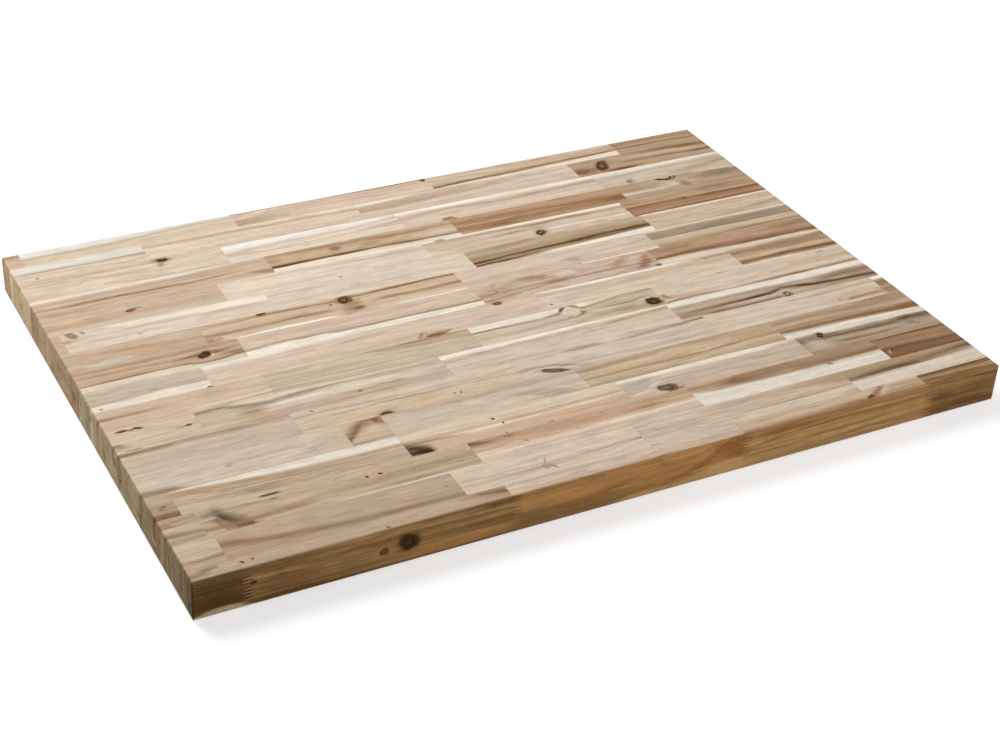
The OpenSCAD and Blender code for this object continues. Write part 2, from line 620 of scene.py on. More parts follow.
def draw_knot(self, mark, away):
    seen = self.shallow if mark.face == "top" else 1
    torn = away + self.torn * 0.9
    self.paint = self.mix(self.ease(torn, mark.spread, 0.8) * 0.75 * seen, self.paint, mark.halo)
    arcs = torn * 8 + (self.along - mark.along) * (2.2 / mark.length)
    arcs = self.ease(arcs.maths("SINE", arcs), -0.4, 0.6) * self.ease(torn, 0.90, 0.66)
    shell = self.mix(arcs * mark.open, mark.core, mark.halo)
    self.paint = self.mix(self.ease(torn, 1.18, 0.80) * 0.97 * seen, self.paint, shell)
    crack = self.ease(abs(torn - 0.45), 0.24, 0.06) * self.ease(self.fibre, 0.46, 0.60)
    deeper = tuple(amount * 0.35 for amount in mark.core[:3]) + (1,)
    self.paint = self.mix(crack * 0.6 * seen, self.paint, deeper)


Stave.cloud = cloud
Stave.dot = dot
Stave.draw_knot = draw_knot
print("knots are drawn with", Stave.draw_knot.__name__)

# %% [markdown]
# Last come the things that all planks share. Fibres are noise drawn out along the grain, in three
# sizes, down to the pores that look like short pencil dashes. They make the colour uneven, they
# change how rough the sanded surface is, and a Bump node lets the light feel them. The wash gives
# each plank its own brightness and warmth: its oil, and painted light and shade across the panel.
# The washes are kept as half values, because a colour ramp stops at 1, and the fibres' brightness
# is about 2 to make up for it. End grain drinks more light than a face, so it is darker. The
# material goes into the slot of the CAD object.

# %% Sand the stave


def sand(self):
    for mark, away in zip(self.knots, self.reaches):
        self.draw_knot(mark, away)
    mottle = self.noise((30, 7, 7), 2, 0.6)
    dashes = self.noise((8, 0.42, 0.42), 1)
    pores = self.ease(dashes, 0.60, 0.74)
    sheen = 0.70 + self.streaks * 1.00 + self.fibre * 0.70 + mottle * 0.90
    # Each plank's wash: oil tone plus painted light and shade, brighter left of the middle, darker to the
    # right and at the far left end
    washes_with_painted_light = []
    for one in self.planks:
        bright, warm = one.oil
        half = bright / 2
        washes_with_painted_light.append((half * (1 + warm), half, half * (1 - warm), 1))
    paint = self.vector("MULTIPLY", self.paint, self.by_block(washes_with_painted_light))
    paint = self.node("ShaderNodeVectorMath", {"operation": "SCALE"}, {0: paint, "Scale": sheen})
    paint = self.mix(pores * 0.30, paint, DARK_LINE)
    endgrain = self.vector("MULTIPLY", paint, (0.55, 0.51, 0.385))
    endgrain = self.mix(self.late_wood * 0.45, endgrain, DARK_LINE)
    paint = self.mix(self.end, paint, endgrain)
    height = self.fibre * 0.6 + self.streaks * 0.4 - pores * 0.5
    bump = self.node("ShaderNodeBump", {}, {"Strength": 0.22, "Distance": 0.0004, "Height": height})
    surface = self.node("ShaderNodeBsdfPrincipled", {}, {
        "Base Color": paint,
        "Roughness": 0.56 + self.fibre * 0.18 + pores * 0.08,
        "Normal": bump,
        "Specular IOR Level": 0.06,
        "Specular Tint": (1.0, 0.84, 0.62, 1),
    })
    wood = self.show(surface)
    for slot in staves[stave_name(self.number)].material_slots:
        slot.material = wood
    print(wood.name, "has", len(self.tree.nodes), "nodes")


Stave.sand = sand

# %% [markdown]
# Stave 1 lies at the back edge, and was trimmed with the panel to 34 mm. Its second block has a
# wedge of cream sapwood that narrows to the right, in a cream darkened by painted shade. A thin
# brown line runs through the last two. The back face of the first two blocks gets painted shade.

# %% Stave 1
stave = Stave(1, [24, 277, 532, 797], [
    plank(PINK_TAN, TAN, ring=9, oil=HONEY),
    plank(OLIVE_CREAM, PALE_BEIGE, ring=12, slope=-0.03, oil=HONEY),
    plank(PINK_BEIGE, PINK_TAN, ring=11, slope=0.02),
    plank(PALE_BEIGE, TAN, ring=9, slope=-0.03, oil=HONEY),
    plank(TAN, BROWN_TAN, ring=8, oil=AMBER),
])
stave.border(1, [(0, 4, 1)], PALE_BEIGE)
stave.line(1, [(0, 7, 0.9)], BROWN, 3)
# The sapwood wedge is in a cream darkened with painted shade
stave.border(2, [(20, 18, 1), (120, 14, 1), (190, 9.5, 1), (272, 6, 1)], SHADED_CREAM)
stave.line(2, [(20, 20, 0.9), (120, 16, 0.8), (190, 11.5, 0.5), (270, 9, 0.3)], GREY_TAN, 4)
stave.line(2, [(20, 29, 0.3), (270, 26, 0.2)], OLIVE_TAN, 6)
stave.cloud(3, 275, 26, 75, 11, BROWN_TAN, 1.0)
stave.cloud(3, 292, 12, 30, 5, IVORY, 0.8, tilt=12)
stave.line(3, [(272, 3, 0.6), (400, 3, 0.3), (470, 1.5, 0.7), (527, 2, 1)], DARK_LINE, 2.6)
stave.dot(3, 522, 4, 6, 5, tilt=20, colour=DARK)
stave.border(4, [(527, 33, 1), (600, 28, 1), (700, 25, 1), (790, 22.5, 1)], CREAM, side="front")
stave.line(4, [(600, 23, 0), (640, 24, 0.7), (760, 17, 0.6), (792, 17, 0.5)], ORANGE, 5)
stave.line(4, [(527, 30.5, 1), (600, 26.5, 1), (700, 23, 0.9), (792, 20, 0.9)], WALNUT, 3)
stave.line(5, [(792, 19, 0.9), (850, 19, 0.8), (914, 21, 0.9)], WALNUT, 2.6)
stave.line(5, [(792, 27, 0.6), (914, 28, 0.4)], PINK_TAN, 6)
stave.cloud(5, 880, 6, 50, 5, BROWN_TAN, 0.7)
# Painted shade: grey tan over the back face of the first two blocks keeps the pale wood there from going
# white under the lamp beside the left end
stave.cloud(1, 12, 22, 600, 200, GREY_TAN, 0.8, face="back")
stave.cloud(2, 150, 22, 600, 200, GREY_TAN, 1, face="back")
stave.cloud(1, 17, 22, 40, 40, GREY_BROWN, 0.35, face="end")
stave.cloud(1, 30, 33, 5, 4, RED_BROWN, 0.7, face="end")
stave.sand()

# %% [markdown]
# Stave 2 begins with half a block of sapwood. The last block holds the most striking knot of the
# back half: a slanted one with rings like a shell, and brown wood to its left.

# %% Stave 2
stave = Stave(2, [157, 423, 717], [
    plank(GREY_BEIGE, PALE_BEIGE, ring=13, oil=HONEY),
    plank(PALE_BEIGE, PINK_BEIGE, ring=10, slope=0.02),
    plank(PINK_BEIGE, PINK_TAN, heart=(10, 90), ring=12, slope=-0.02, oil=HONEY),
    plank(TAN, OLIVE_TAN, heart=(-30, 60), ring=8, slope=0.06, oil=AMBER),
], knots=[
    knot(752, 20, 13, 8, tilt=62, core=DARK, halo=BROWN, spread=1.6, open=1.0),
])
# The sapwood is in a cream darkened with painted shade
stave.border(1, [(0, 15, 1), (152, 16.5, 1)], SHADED_CREAM)
stave.line(1, [(0, 16.5, 0.5), (152, 18, 0.6)], GREY_BROWN, 2.6)
stave.dot(1, 24, 30, 3, 1.6, colour=GREY_BROWN)
stave.border(2, [(152, 5, 0.5), (340, 7, 0.7), (418, 9, 0.9)], IVORY)
stave.line(2, [(152, 6.5, 0.8), (300, 8, 0.6), (418, 11, 0.9)], BROWN_TAN, 4)
stave.cloud(2, 158, 38, 14, 3.5, BLACK, 1.0, tilt=8)
stave.line(2, [(160, 38, 0.4), (418, 38, 0.3)], GREY_TAN, 3)
stave.border(3, [(418, 8, 1), (480, 5, 1), (520, 1, 0.6), (560, 0, 0)], CREAM)
stave.line(3, [(418, 14, 0.9), (500, 15, 0.8), (600, 11, 0.5), (660, 9, 0)], GREY_TAN, 6)
stave.line(3, [(418, 21, 0.9), (480, 20, 0.7), (560, 18, 0.4), (620, 18, 0)], RED_TAN, 4)
stave.line(3, [(418, 27, 0.9), (520, 26, 0.6), (620, 24, 0)], IVORY, 3)
stave.line(3, [(540, 22, 0), (600, 19, 0.7), (712, 12, 0.6)], IVORY, 4)
stave.line(3, [(600, 27, 0), (640, 26, 0.6), (712, 24, 0.5)], IVORY, 3)
stave.cloud(4, 712, 26, 40, 11, WALNUT, 1.0)
stave.cloud(4, 770, 35, 42, 5, RED_BROWN, 1.0)
stave.cloud(4, 775, 36, 24, 3, DARK_LINE, 1.0)
stave.line(4, [(712, 3, 0.5), (750, 2, 0.7), (914, 2, 0.3)], BROWN_TAN, 5)
stave.line(4, [(765, 10, 0), (800, 12, 0.9), (914, 17, 0.6)], PALE_BEIGE, 4)
stave.line(4, [(780, 4, 0), (860, 6, 0.9), (914, 9, 1)], WALNUT, 5)
stave.line(4, [(765, 18, 0), (790, 18, 0.6), (914, 21, 0.5)], BROWN_TAN, 3)
stave.line(4, [(883, 23, 0), (891, 23, 1), (914, 23.5, 0.9)], DARK_LINE, 2.2)
stave.line(4, [(775, 21, 0), (800, 22, 0.8), (880, 24, 0.7)], WALNUT, 3)
stave.cloud(4, 850, 34, 60, 6, BROWN_TAN, 0.5)
stave.cloud(1, 5, 25, 4.5, 30, CREAM, 0.5, face="end")
stave.sand()

# %% [markdown]
# Stave 3 has sapwood along the back of all its blocks but the first. A black knot with a reddish
# stain touches the stave behind it, and a faint brown band crosses the third block.

# %% Stave 3
stave = Stave(3, [239, 458, 729], [
    plank(PALE_BEIGE, PINK_BEIGE, heart=(20, 80), ring=12, slope=0.03),
    plank(GREY_BEIGE, PINK_BEIGE, ring=14, oil=BRIGHTEST_WASH),
    plank(PINK_BEIGE, PALE_BEIGE, ring=12),
    plank(GREY_BEIGE, PALE_BEIGE, ring=12, slope=-0.05, oil=HONEY),
], knots=[
    knot(163, 2, 7, 4.5, core=BLACK, halo=RED_BROWN, spread=2.2, open=0.2),
    knot(511, 38, 10, 6, core=BROWN, halo=TAN, spread=1.2),
    knot(764, 33, 4.5, 3, core=GREY_BROWN, halo=TAN, spread=1.8),
])
stave.cloud(1, 159, 10, 5, 9, RED_BROWN, 0.7)
stave.cloud(1, 162, 34, 6, 2, GREY_TAN, 0.8)
stave.line(1, [(165, 3, 0.7), (210, 3, 0.4), (234, 3, 0.3)], BROWN_TAN, 3)
stave.line(1, [(20, 8, 0), (80, 13, 0.5), (150, 22, 0.4), (190, 26, 0)], RED_TAN, 4)
stave.cloud(1, 20, 34, 40, 4, TAN, 0.7)
# The sapwood is in a cream darkened with painted shade
stave.border(2, [(234, 18, 1), (270, 15, 1), (310, 11, 1), (400, 11, 1), (453, 5, 1)], SHADED_CREAM, 2.5)
stave.line(2, [(234, 19.5, 0.9), (270, 16.5, 0.8), (310, 13, 0.4), (400, 13, 0.5), (453, 7, 0.8)], GREY_TAN,
           4)
stave.line(2, [(400, 24, 0), (430, 20, 0.5), (453, 18, 0.8)], GREY_BROWN, 2.5)
stave.border(3, [(453, 6, 1), (560, 8, 1), (724, 8, 1)], CREAM, 2.5)
stave.line(3, [(455, 16, 0.6), (520, 13, 0.7), (600, 17, 0.8), (724, 13, 1)], BROWN_TAN, 3.6)
stave.line(3, [(500, 26, 0), (560, 25, 0.3), (700, 24, 0.3), (724, 24, 0)], WARM_TAN, 3)
stave.border(4, [(724, 10, 1), (820, 9, 1), (914, 6, 1)], CREAM, 3)
stave.line(4, [(724, 13, 0.4), (800, 13, 0.5), (914, 8, 0.3)], GREY_TAN, 3.5)
stave.line(4, [(815, 30, 0), (850, 28, 0.9), (914, 20, 1)], BROWN_TAN, 4.5)
stave.cloud(4, 766, 31, 7, 8, BROWN, 0.7, tilt=60)
stave.line(4, [(860, 16, 0), (900, 13, 0.4), (914, 12, 0.4)], TAN, 4)
stave.cloud(4, 750, 24, 22, 9, GREY_BEIGE, 0.5)
stave.cloud(1, 9, 27, 12, 4, RED_TAN, 0.6, -50, face="end")
stave.dot(1, 6.5, 22, 5.5, 4.5, -20, BROWN, face="end")
stave.cloud(1, 30, 20, 14, 30, OLIVE_CREAM, 0.5, face="end")
stave.sand()

# %% [markdown]
# Stave 4 gets redder block by block until the third, and its last block has a large ringed knot
# at the very back, in a pale grey cloud. The second has a nearly black line above cream sapwood.

# %% Stave 4
stave = Stave(4, [277, 512, 742], [
    plank(PINK_TAN, TAN, ring=9, slope=0.02),
    plank(TAN, BROWN_TAN, heart=(15, 60), ring=7, oil=PALE),
    plank(RED_TAN, BROWN_TAN, heart=(60, 40), ring=9, slope=-0.04, oil=HONEY),
    plank(TAN, GREY_TAN, heart=(0, 70), ring=9, slope=-0.05, oil=AMBER),
], knots=[
    knot(355, 13, 5, 4, core=BROWN, halo=RED_BROWN, spread=2.2),
    knot(810, 2, 15, 6, tilt=-8, core=DARK, halo=TAN, spread=1.3, open=1.0),
])
stave.border(1, [(0, 8, 1), (150, 7, 1), (240, 3, 1), (272, 2, 1)], IVORY, 2)
stave.line(1, [(0, 11, 0.8), (110, 11, 1), (240, 7, 0.9), (272, 5, 0.5)], GREY_TAN, 5)
stave.line(1, [(0, 22, 0.8), (100, 23, 1), (170, 24, 1), (210, 23, 0.7), (240, 21, 0)], WALNUT, 2.2)
stave.line(1, [(0, 32, 1), (50, 35, 0.7), (80, 37, 0)], BROWN_TAN, 4)
stave.cloud(1, 268, 32, 30, 6, RED_BROWN, 0.7, tilt=-12)
stave.cloud(2, 275, 14, 18, 8, GREY_BROWN, 0.5)
stave.line(2, [(272, 4, 0.5), (350, 5, 0.9), (507, 9, 0.6)], BROWN, 3.5)
stave.line(2, [(395, 12, 0), (425, 10, 0.9), (480, 9, 0)], RED_BROWN, 3.4)
stave.border(2, [(272, 31.5, 1), (390, 31.5, 1), (507, 33, 1)], IVORY, 1.2, side="front")
stave.line(2, [(272, 28, 1), (370, 28, 1), (440, 29.5, 0.8), (507, 30.5, 0.6)], DARK_LINE, 3)
stave.line(2, [(272, 29, 1), (350, 29, 1), (400, 29, 0.3)], DARK, 1.6)
stave.line(2, [(440, 22, 0), (480, 22, 0.6), (507, 22, 0.6)], OLIVE_CREAM, 7)
stave.line(3, [(507, 5, 0.6), (600, 5, 0.5), (737, 8, 0.4)], TAN, 4)
stave.line(3, [(507, 13, 0.9), (600, 15, 0.9), (737, 22, 0.9)], RED_BROWN, 6)
stave.line(3, [(507, 26, 0.9), (650, 27, 0.8), (700, 27, 0.9), (737, 27, 1)], RED_BROWN, 6)
stave.line(3, [(507, 20, 0.5), (640, 21, 0.5), (660, 21, 0)], TAN, 2.6)
stave.cloud(3, 728, 25, 24, 8, WALNUT, 1.0)
stave.cloud(3, 560, 33, 40, 5, WALNUT, 0.8)
stave.cloud(4, 815, 16, 45, 10, GREY_BEIGE, 0.8)
stave.line(4, [(737, 24, 0.9), (790, 24, 0.8), (815, 20, 0.4), (830, 20, 0)], CREAM, 3)
stave.line(4, [(737, 14, 0.7), (785, 14, 0.6), (800, 10, 0)], BROWN_TAN, 4)
stave.cloud(4, 827, 22, 8, 11, GREY_BROWN, 0.7, tilt=35)
stave.cloud(4, 890, 13, 55, 11, GREY_BROWN, 0.9)
stave.cloud(4, 812, 17, 12, 7, IVORY, 0.8, tilt=-50)
stave.line(4, [(850, 2, 0), (870, 1.5, 1), (914, 4, 1)], CREAM, 2)
stave.line(4, [(835, 30, 0), (870, 33, 0.6), (914, 36, 0.7)], BROWN_TAN, 4)
stave.cloud(1, 11, 14, 6, 30, SMOKE, 0.55, face="end")
stave.cloud(1, 24, 24, 22, 30, GREY_BROWN, 0.3, face="end")
stave.sand()

# %% [markdown]
# Stave 5 has a small knot in a warm first block, a quiet second one, and in the third a round
# knot like an eye, with a dark pupil and a ring. The last block is reddish brown towards the front.

# %% Stave 5
stave = Stave(5, [206, 457, 726], [
    plank(PINK_TAN, GREY_BEIGE, ring=12, oil=HONEY),
    plank(GREY_BEIGE, PINK_BEIGE, ring=14, slope=-0.03, oil=BRIGHTEST_WASH),
    plank(PALE_BEIGE, PINK_TAN, heart=(24, 80), ring=8),
    plank(TAN, BROWN_TAN, ring=10, oil=AMBER),
], knots=[
    knot(97, 18, 5.4, 3.4, tilt=15, core=DARK_LINE, halo=BROWN_TAN, spread=1.8),
    knot(475, 4, 6, 3, core=BROWN_TAN, halo=TAN, spread=1.5),
    knot(595, 31, 6, 6.5, core=BLACK, halo=BROWN, spread=1.5, open=1.0),
])
stave.line(1, [(0, 23, 0.5), (60, 22, 0.4), (120, 22, 0.2), (200, 17, 0.3)], ORANGE, 7)
stave.line(1, [(0, 26, 0.7), (50, 26, 0.7), (100, 24, 0.3), (200, 22, 0.4)], RED_TAN, 4)
stave.dot(1, 106, 15, 5, 1.6, tilt=-20, colour=BROWN)
stave.line(1, [(120, 35, 0), (170, 35, 0.6), (201, 34, 0.6)], GREY_BEIGE, 3)
stave.border(2, [(201, 0, 0), (300, 1.5, 0.6), (452, 2.5, 0.9)], CREAM, 2)
stave.dot(2, 335, 37, 2, 1.5, colour=GREY_BROWN)
stave.border(3, [(452, 5, 0.9), (580, 5, 1), (721, 5, 1)], CREAM, 2)
stave.line(3, [(455, 7, 0.3), (560, 9, 0.6), (600, 10, 0.9), (640, 8, 0.8), (721, 10, 0.4)], BROWN, 3.4)
stave.line(3, [(520, 20, 0), (545, 20, 0.9), (570, 18.5, 0.9), (590, 18, 0)], BROWN, 1.6)
stave.cloud(3, 597, 26, 12, 14, BROWN_TAN, 0.6)
stave.line(3, [(603, 24, 0), (625, 25, 0.9), (721, 27, 0.6)], CREAM, 3)
stave.line(3, [(640, 20, 0), (700, 22, 0.4), (721, 23, 0.3)], RED_TAN, 2)
stave.line(3, [(500, 28, 0), (540, 30, 0.4), (580, 29, 0)], RED_TAN, 2)
stave.border(4, [(721, 20, 0.6), (800, 19, 0.6), (914, 22, 0.7)], RED_BROWN, 2, side="front")
stave.line(4, [(721, 14, 0.8), (800, 14, 0.8), (914, 16, 0.7)], WARM_TAN, 4)
stave.line(4, [(721, 19, 1), (800, 18.5, 0.9), (860, 20.5, 1), (914, 22, 1)], WALNUT, 3)
stave.line(4, [(721, 27, 0.4), (820, 25, 0.5), (914, 28, 0.5)], RED_TAN, 3)
stave.cloud(4, 870, 4, 50, 6, BROWN, 0.6)
stave.dot(4, 803, 18, 2.5, 1.6, tilt=-30)
stave.line(4, [(730, 33, 0), (760, 33, 0.8), (820, 32, 0.4)], WARM_TAN, 2)
stave.line(4, [(740, 36, 0), (790, 36, 0.9), (880, 36, 0.8)], WALNUT, 2)
stave.cloud(1, 18, 22, 34, 36, GREY_BEIGE, 0.75, face="end")
stave.cloud(1, 28, 5, 6, 4, ORANGE, 0.5, face="end")
stave.sand()

# %% [markdown]
# Stave 6 is mostly sapwood and pale heartwood. The fourth block makes up for it: a thick, almost
# black streak climbs from its front to its middle, with brown wood behind and cream in front.

# %% Stave 6
stave = Stave(6, [17, 248, 493, 733], [
    plank(WARM_TAN, PINK_TAN, ring=9, oil=AMBER),
    plank(GREY_BEIGE, PINK_BEIGE, ring=13, oil=PALE),
    plank(GREY_BEIGE, OLIVE_CREAM, heart=(10, 90), ring=10, oil=BRIGHTEST_WASH),
    plank(TAN, OLIVE_TAN, ring=8, slope=0.04),
    plank(PALE_BEIGE, WARM_TAN, ring=9, slope=-0.04, oil=HONEY),
], knots=[
    knot(22, 5, 9, 4.5, tilt=-55, core=GREY_BROWN, halo=GREY_TAN, spread=1.9, open=0.3),
])
stave.cloud(2, 34, 4, 5, 3, GREY_BROWN, 1.0, tilt=-60)
stave.cloud(2, 14, 16, 14, 5, BROWN_TAN, 1.0)
stave.border(2, [(50, 0, 0), (64, 4, 0.9), (90, 9, 1), (150, 13, 1), (243, 16, 1)], IVORY, 4)
stave.line(2, [(50, 14, 0.3), (90, 13, 0.4), (170, 17, 0.8), (220, 18, 0.6), (243, 19, 0.3)], GREY_TAN, 4)
stave.cloud(2, 90, 30, 4, 2, GREY_BROWN, 0.9)
stave.line(3, [(243, 28, 0.5), (300, 26, 0.6), (400, 24, 0.6), (488, 29, 0.4)], GREY_TAN, 3.5)
stave.line(3, [(243, 8, 0.3), (330, 6, 0.3), (488, 8, 0.3)], OLIVE_TAN, 3)
stave.cloud(3, 345, 20, 8, 6, GREY_TAN, 0.5)
stave.line(4, [(488, 8, 0.5), (540, 6, 0.7), (570, 3, 0.5), (600, 3, 0)], GREY_BROWN, 4)
stave.line(4, [(488, 18, 0.4), (600, 14, 0.5), (728, 12, 0.5)], BROWN_TAN, 4)
stave.border(4, [(488, 39, 0), (560, 38, 0.4), (590, 35, 1), (728, 28, 1)], CREAM, 1.5, side="front")
stave.line(4, [(488, 20, 0.7), (560, 18, 0.6), (650, 14, 0.4), (728, 13, 0.6)], BROWN, 4)
stave.line(4, [(488, 30, 1), (560, 27, 0.95), (650, 23, 1), (728, 21.5, 1)], WALNUT, 5)
stave.line(4, [(488, 30, 1), (560, 26.5, 0.9), (650, 22.5, 0.9), (728, 21.5, 0.9)], DARK, 2.4)
stave.line(4, [(488, 37, 1), (530, 36, 1), (570, 33.5, 0.6), (590, 32, 0)], DARK, 2.4)
stave.line(4, [(570, 33, 0), (620, 29, 0.8), (728, 26, 0.9)], DARK_LINE, 2)
stave.border(5, [(728, 3, 1), (800, 4.5, 1), (914, 4, 1)], CREAM, 1.8)
stave.line(5, [(728, 8, 0.4), (914, 8, 0.4)], TAN, 4)
stave.line(5, [(800, 36, 0), (850, 33, 0.7), (914, 25, 0.9)], BROWN_TAN, 4)
stave.line(5, [(830, 24, 0), (870, 21, 0.4), (914, 19, 0.4)], IVORY, 3)
stave.cloud(1, 18, 20, 30, 24, GREY_BEIGE, 0.35, face="end")
stave.cloud(1, 8, 32, 7, 6, WALNUT, 0.6, face="end")
stave.cloud(1, 34, 17, 9, 9, WALNUT, 0.4, face="end")
stave.sand()

# %% [markdown]
# Stave 7 has two knots in its warm second block, one at the glue line and one with rings, and a
# dark line that runs from knot to knot. The last block is banded: cream, olive grey, cream and tan.

# %% Stave 7
stave = Stave(7, [156, 462, 714], [
    plank(GREY_BEIGE, TAN, heart=(10, 90), ring=12, slope=0.05, oil=HONEY),
    plank(PINK_TAN, WARM_TAN, ring=10),
    plank(PINK_BEIGE, PALE_BEIGE, ring=12, slope=-0.04),
    plank(TAN, WARM_TAN, ring=10, oil=HONEY),
], knots=[
    knot(222, 1, 5.5, 3.4, core=DARK, halo=BROWN, spread=1.5, open=0.2),
    knot(318, 9, 8.5, 7, tilt=20, core=DARK, halo=BROWN, spread=1.6, open=0.8),
    knot(328, 30, 5, 3, core=WALNUT, halo=BROWN, spread=2.4),
    knot(164, 33, 4, 3, core=BROWN_TAN, halo=TAN, spread=2.0),
])
stave.line(1, [(0, 7, 0.7), (50, 12, 0.8), (110, 18, 0.7), (151, 21, 0.5)], RED_TAN, 3)
stave.line(1, [(10, 20, 0), (60, 22, 0.3), (120, 27, 0.2), (151, 30, 0)], GREY_TAN, 3)
stave.border(2, [(151, 35, 0), (200, 33, 0.7), (260, 33, 0.7), (300, 34, 0.4)], GREY_BEIGE, 2.5,
             side="front")
stave.border(2, [(165, 40, 0), (185, 37, 1), (240, 34.5, 1), (290, 36, 1), (306, 40, 0)], CREAM, 1.2,
             side="front")
stave.border(2, [(335, 40, 0), (350, 35, 1), (380, 32, 1), (457, 31, 1)], PALE_BEIGE, 2.5, side="front")
stave.border(2, [(345, 40, 0), (380, 36.5, 1), (457, 36.5, 1)], CREAM, 1.5, side="front")
stave.line(2, [(151, 4, 0.4), (215, 4, 0.6), (240, 5, 0.8), (305, 8, 0.8), (335, 5, 1), (457, 1.5, 1)],
           WALNUT, 2.6)
stave.line(2, [(151, 23, 1), (200, 24, 0.9), (260, 23, 1), (290, 24, 0.7), (310, 26, 0)], BROWN, 3.6)
stave.line(2, [(340, 24, 0), (365, 21, 1), (410, 22, 0.9), (457, 20, 1)], BROWN, 3.4)
stave.cloud(2, 322, 23, 22, 13, BROWN, 0.7, tilt=50)
stave.cloud(2, 156, 34, 14, 7, BROWN, 0.9)
stave.dot(2, 165, 32, 2.4, 3, colour=WALNUT)
stave.dot(2, 300, 13, 1.8, 1.8, colour=DARK_LINE)
stave.line(3, [(457, 27, 0.4), (560, 26, 0.5), (600, 24, 0.6), (709, 13, 0.4)], GREY_TAN, 3)
stave.cloud(3, 598, 25, 16, 5, GREY_BROWN, 0.7, tilt=-12)
stave.line(3, [(590, 34, 0.4), (650, 33, 0.3), (709, 30, 0.3)], GREY_TAN, 3)
stave.dot(3, 601, 36, 3, 1.6, tilt=-40, colour=BROWN_TAN)
stave.border(3, [(590, 40, 0), (610, 37, 1), (700, 37, 1)], CREAM, 1, side="front")
stave.border(4, [(709, 20, 0.85), (914, 20, 0.85)], GREY_TAN, 1.6)
stave.line(4, [(709, 12, 0.5), (820, 13, 0.7), (914, 12, 0.6)], GREY_BROWN, 7)
stave.border(4, [(709, 4, 1), (914, 4, 1)], IVORY, 1.2)
stave.line(4, [(709, 19, 0.7), (800, 19.5, 0.8), (914, 20, 0.8)], GREY_BROWN, 2.2)
stave.line(4, [(709, 27, 0.7), (800, 26, 0.9), (914, 28, 0.8)], OLIVE_CREAM, 5)
stave.line(4, [(750, 36, 0.4), (840, 35, 0.9), (914, 36, 0.7)], BROWN, 3)
stave.cloud(1, 2, 33, 9, 6, CREAM, 0.35, 20, face="end")
stave.sand()

# %% [markdown]
# Stave 8 is pinkish brown behind and cream in front, and a dark line divides the two from end to
# end. Only the third block has no sapwood: it is pink, with reddish swirls.

# %% Stave 8
stave = Stave(8, [186, 465, 695], [
    plank(PINK_TAN, TAN, ring=8, oil=HONEY),
    plank(PINK_BEIGE, PINK_TAN, ring=11),
    plank(PINK_TAN, PINK_BEIGE, heart=(20, 70), ring=9, slope=-0.04, oil=HONEY),
    plank(RED_TAN, TAN, ring=9, slope=0.03, oil=AMBER),
], knots=[
    knot(139, 17, 8, 5, tilt=30, core=BLACK, halo=BROWN, spread=1.6, open=0.2),
])
stave.line(1, [(0, 6, 0.7), (60, 5, 0.5), (181, 3, 0.6)], RED_BROWN, 4)
stave.line(1, [(0, 14, 0.4), (60, 13, 0.4), (110, 16, 0.5), (140, 17, 0.6), (181, 14, 0.6)], RED_BROWN, 2.4)
stave.line(1, [(0, 22, 0.4), (90, 23, 0.6), (130, 22, 0.4), (150, 22, 0.3)], RED_TAN, 3)
stave.cloud(1, 168, 23, 17, 5, BROWN, 0.8)
stave.border(1, [(0, 29, 1), (110, 28, 1), (145, 31, 1), (160, 30, 1), (181, 28, 1)], IVORY, 1.6,
             side="front")
stave.line(1, [(0, 29, 0.9), (110, 27.5, 0.9), (145, 30, 0.9), (181, 27, 0.9)], WALNUT, 1.8)
stave.line(1, [(100, 16, 0), (125, 15, 0.9), (155, 15, 0.8), (175, 12, 0)], WALNUT, 3)
stave.dot(1, 147, 19, 2, 3, tilt=20, colour=CREAM)
stave.border(2, [(181, 28, 1), (230, 25, 1), (290, 27, 1), (400, 29, 1), (460, 30, 1)], CREAM, 1.8,
             side="front")
stave.line(2, [(181, 28, 0.7), (230, 25, 0.8), (290, 27, 0.8), (400, 29, 0.9), (460, 29.5, 1)], BROWN, 2.2)
stave.line(2, [(181, 3, 0.3), (300, 3, 0.5), (460, 3, 0.4)], IVORY, 3)
stave.cloud(3, 540, 8, 26, 6, RED_BROWN, 0.9, tilt=-14)
stave.line(3, [(462, 12, 0.3), (500, 13, 0.7), (540, 8, 0.8), (575, 4, 0)], RED_TAN, 4)
stave.line(3, [(460, 24, 0.6), (500, 21, 0.6), (560, 22, 0.7), (640, 23, 0.6), (690, 26, 0.5)], RED_BROWN,
           2.8)
stave.line(3, [(470, 35, 0.7), (520, 29, 0.6), (560, 24, 0.5), (580, 23, 0)], RED_BROWN, 2)
stave.dot(3, 482, 18, 1.8, 1.8, colour=RED_BROWN)
stave.cloud(3, 645, 14, 22, 7, RED_TAN, 1.0, tilt=25)
stave.cloud(3, 674, 24, 26, 9, RED_BROWN, 1.0, tilt=50)
stave.cloud(3, 686, 36, 6, 4, DARK_LINE, 0.9)
stave.border(4, [(690, 27, 1), (780, 30, 1), (914, 32, 1)], CREAM, 2.5, side="front")
stave.line(4, [(690, 23, 0.9), (730, 21, 0.9), (800, 25, 0.95), (914, 28, 1)], BROWN, 5)
stave.line(4, [(690, 24, 0.8), (730, 23, 0.9), (800, 27, 0.9), (914, 30, 1)], WALNUT, 2.2)
stave.cloud(4, 720, 8, 40, 7, RED_BROWN, 0.6)
stave.cloud(4, 890, 10, 50, 9, BROWN, 0.7)
stave.line(4, [(690, 36, 0.3), (914, 37, 0.5)], PALE_BEIGE, 3)
stave.cloud(1, 19, 30, 5, 16, PALE_BEIGE, 0.4, 30, face="end")
stave.cloud(1, 12, 21, 8, 8, WALNUT, 0.85, face="end")
stave.cloud(1, 34, 12, 3, 18, DARK_LINE, 0.7, face="end")
stave.sand()

# %% [markdown]
# Stave 9 starts with the coolest block of the panel, a greenish grey one with sapwood in front.
# Its second block is the longest of all and plain, but for a burst of small dark knots at the
# front glue line. The last block is brown with a cream front.

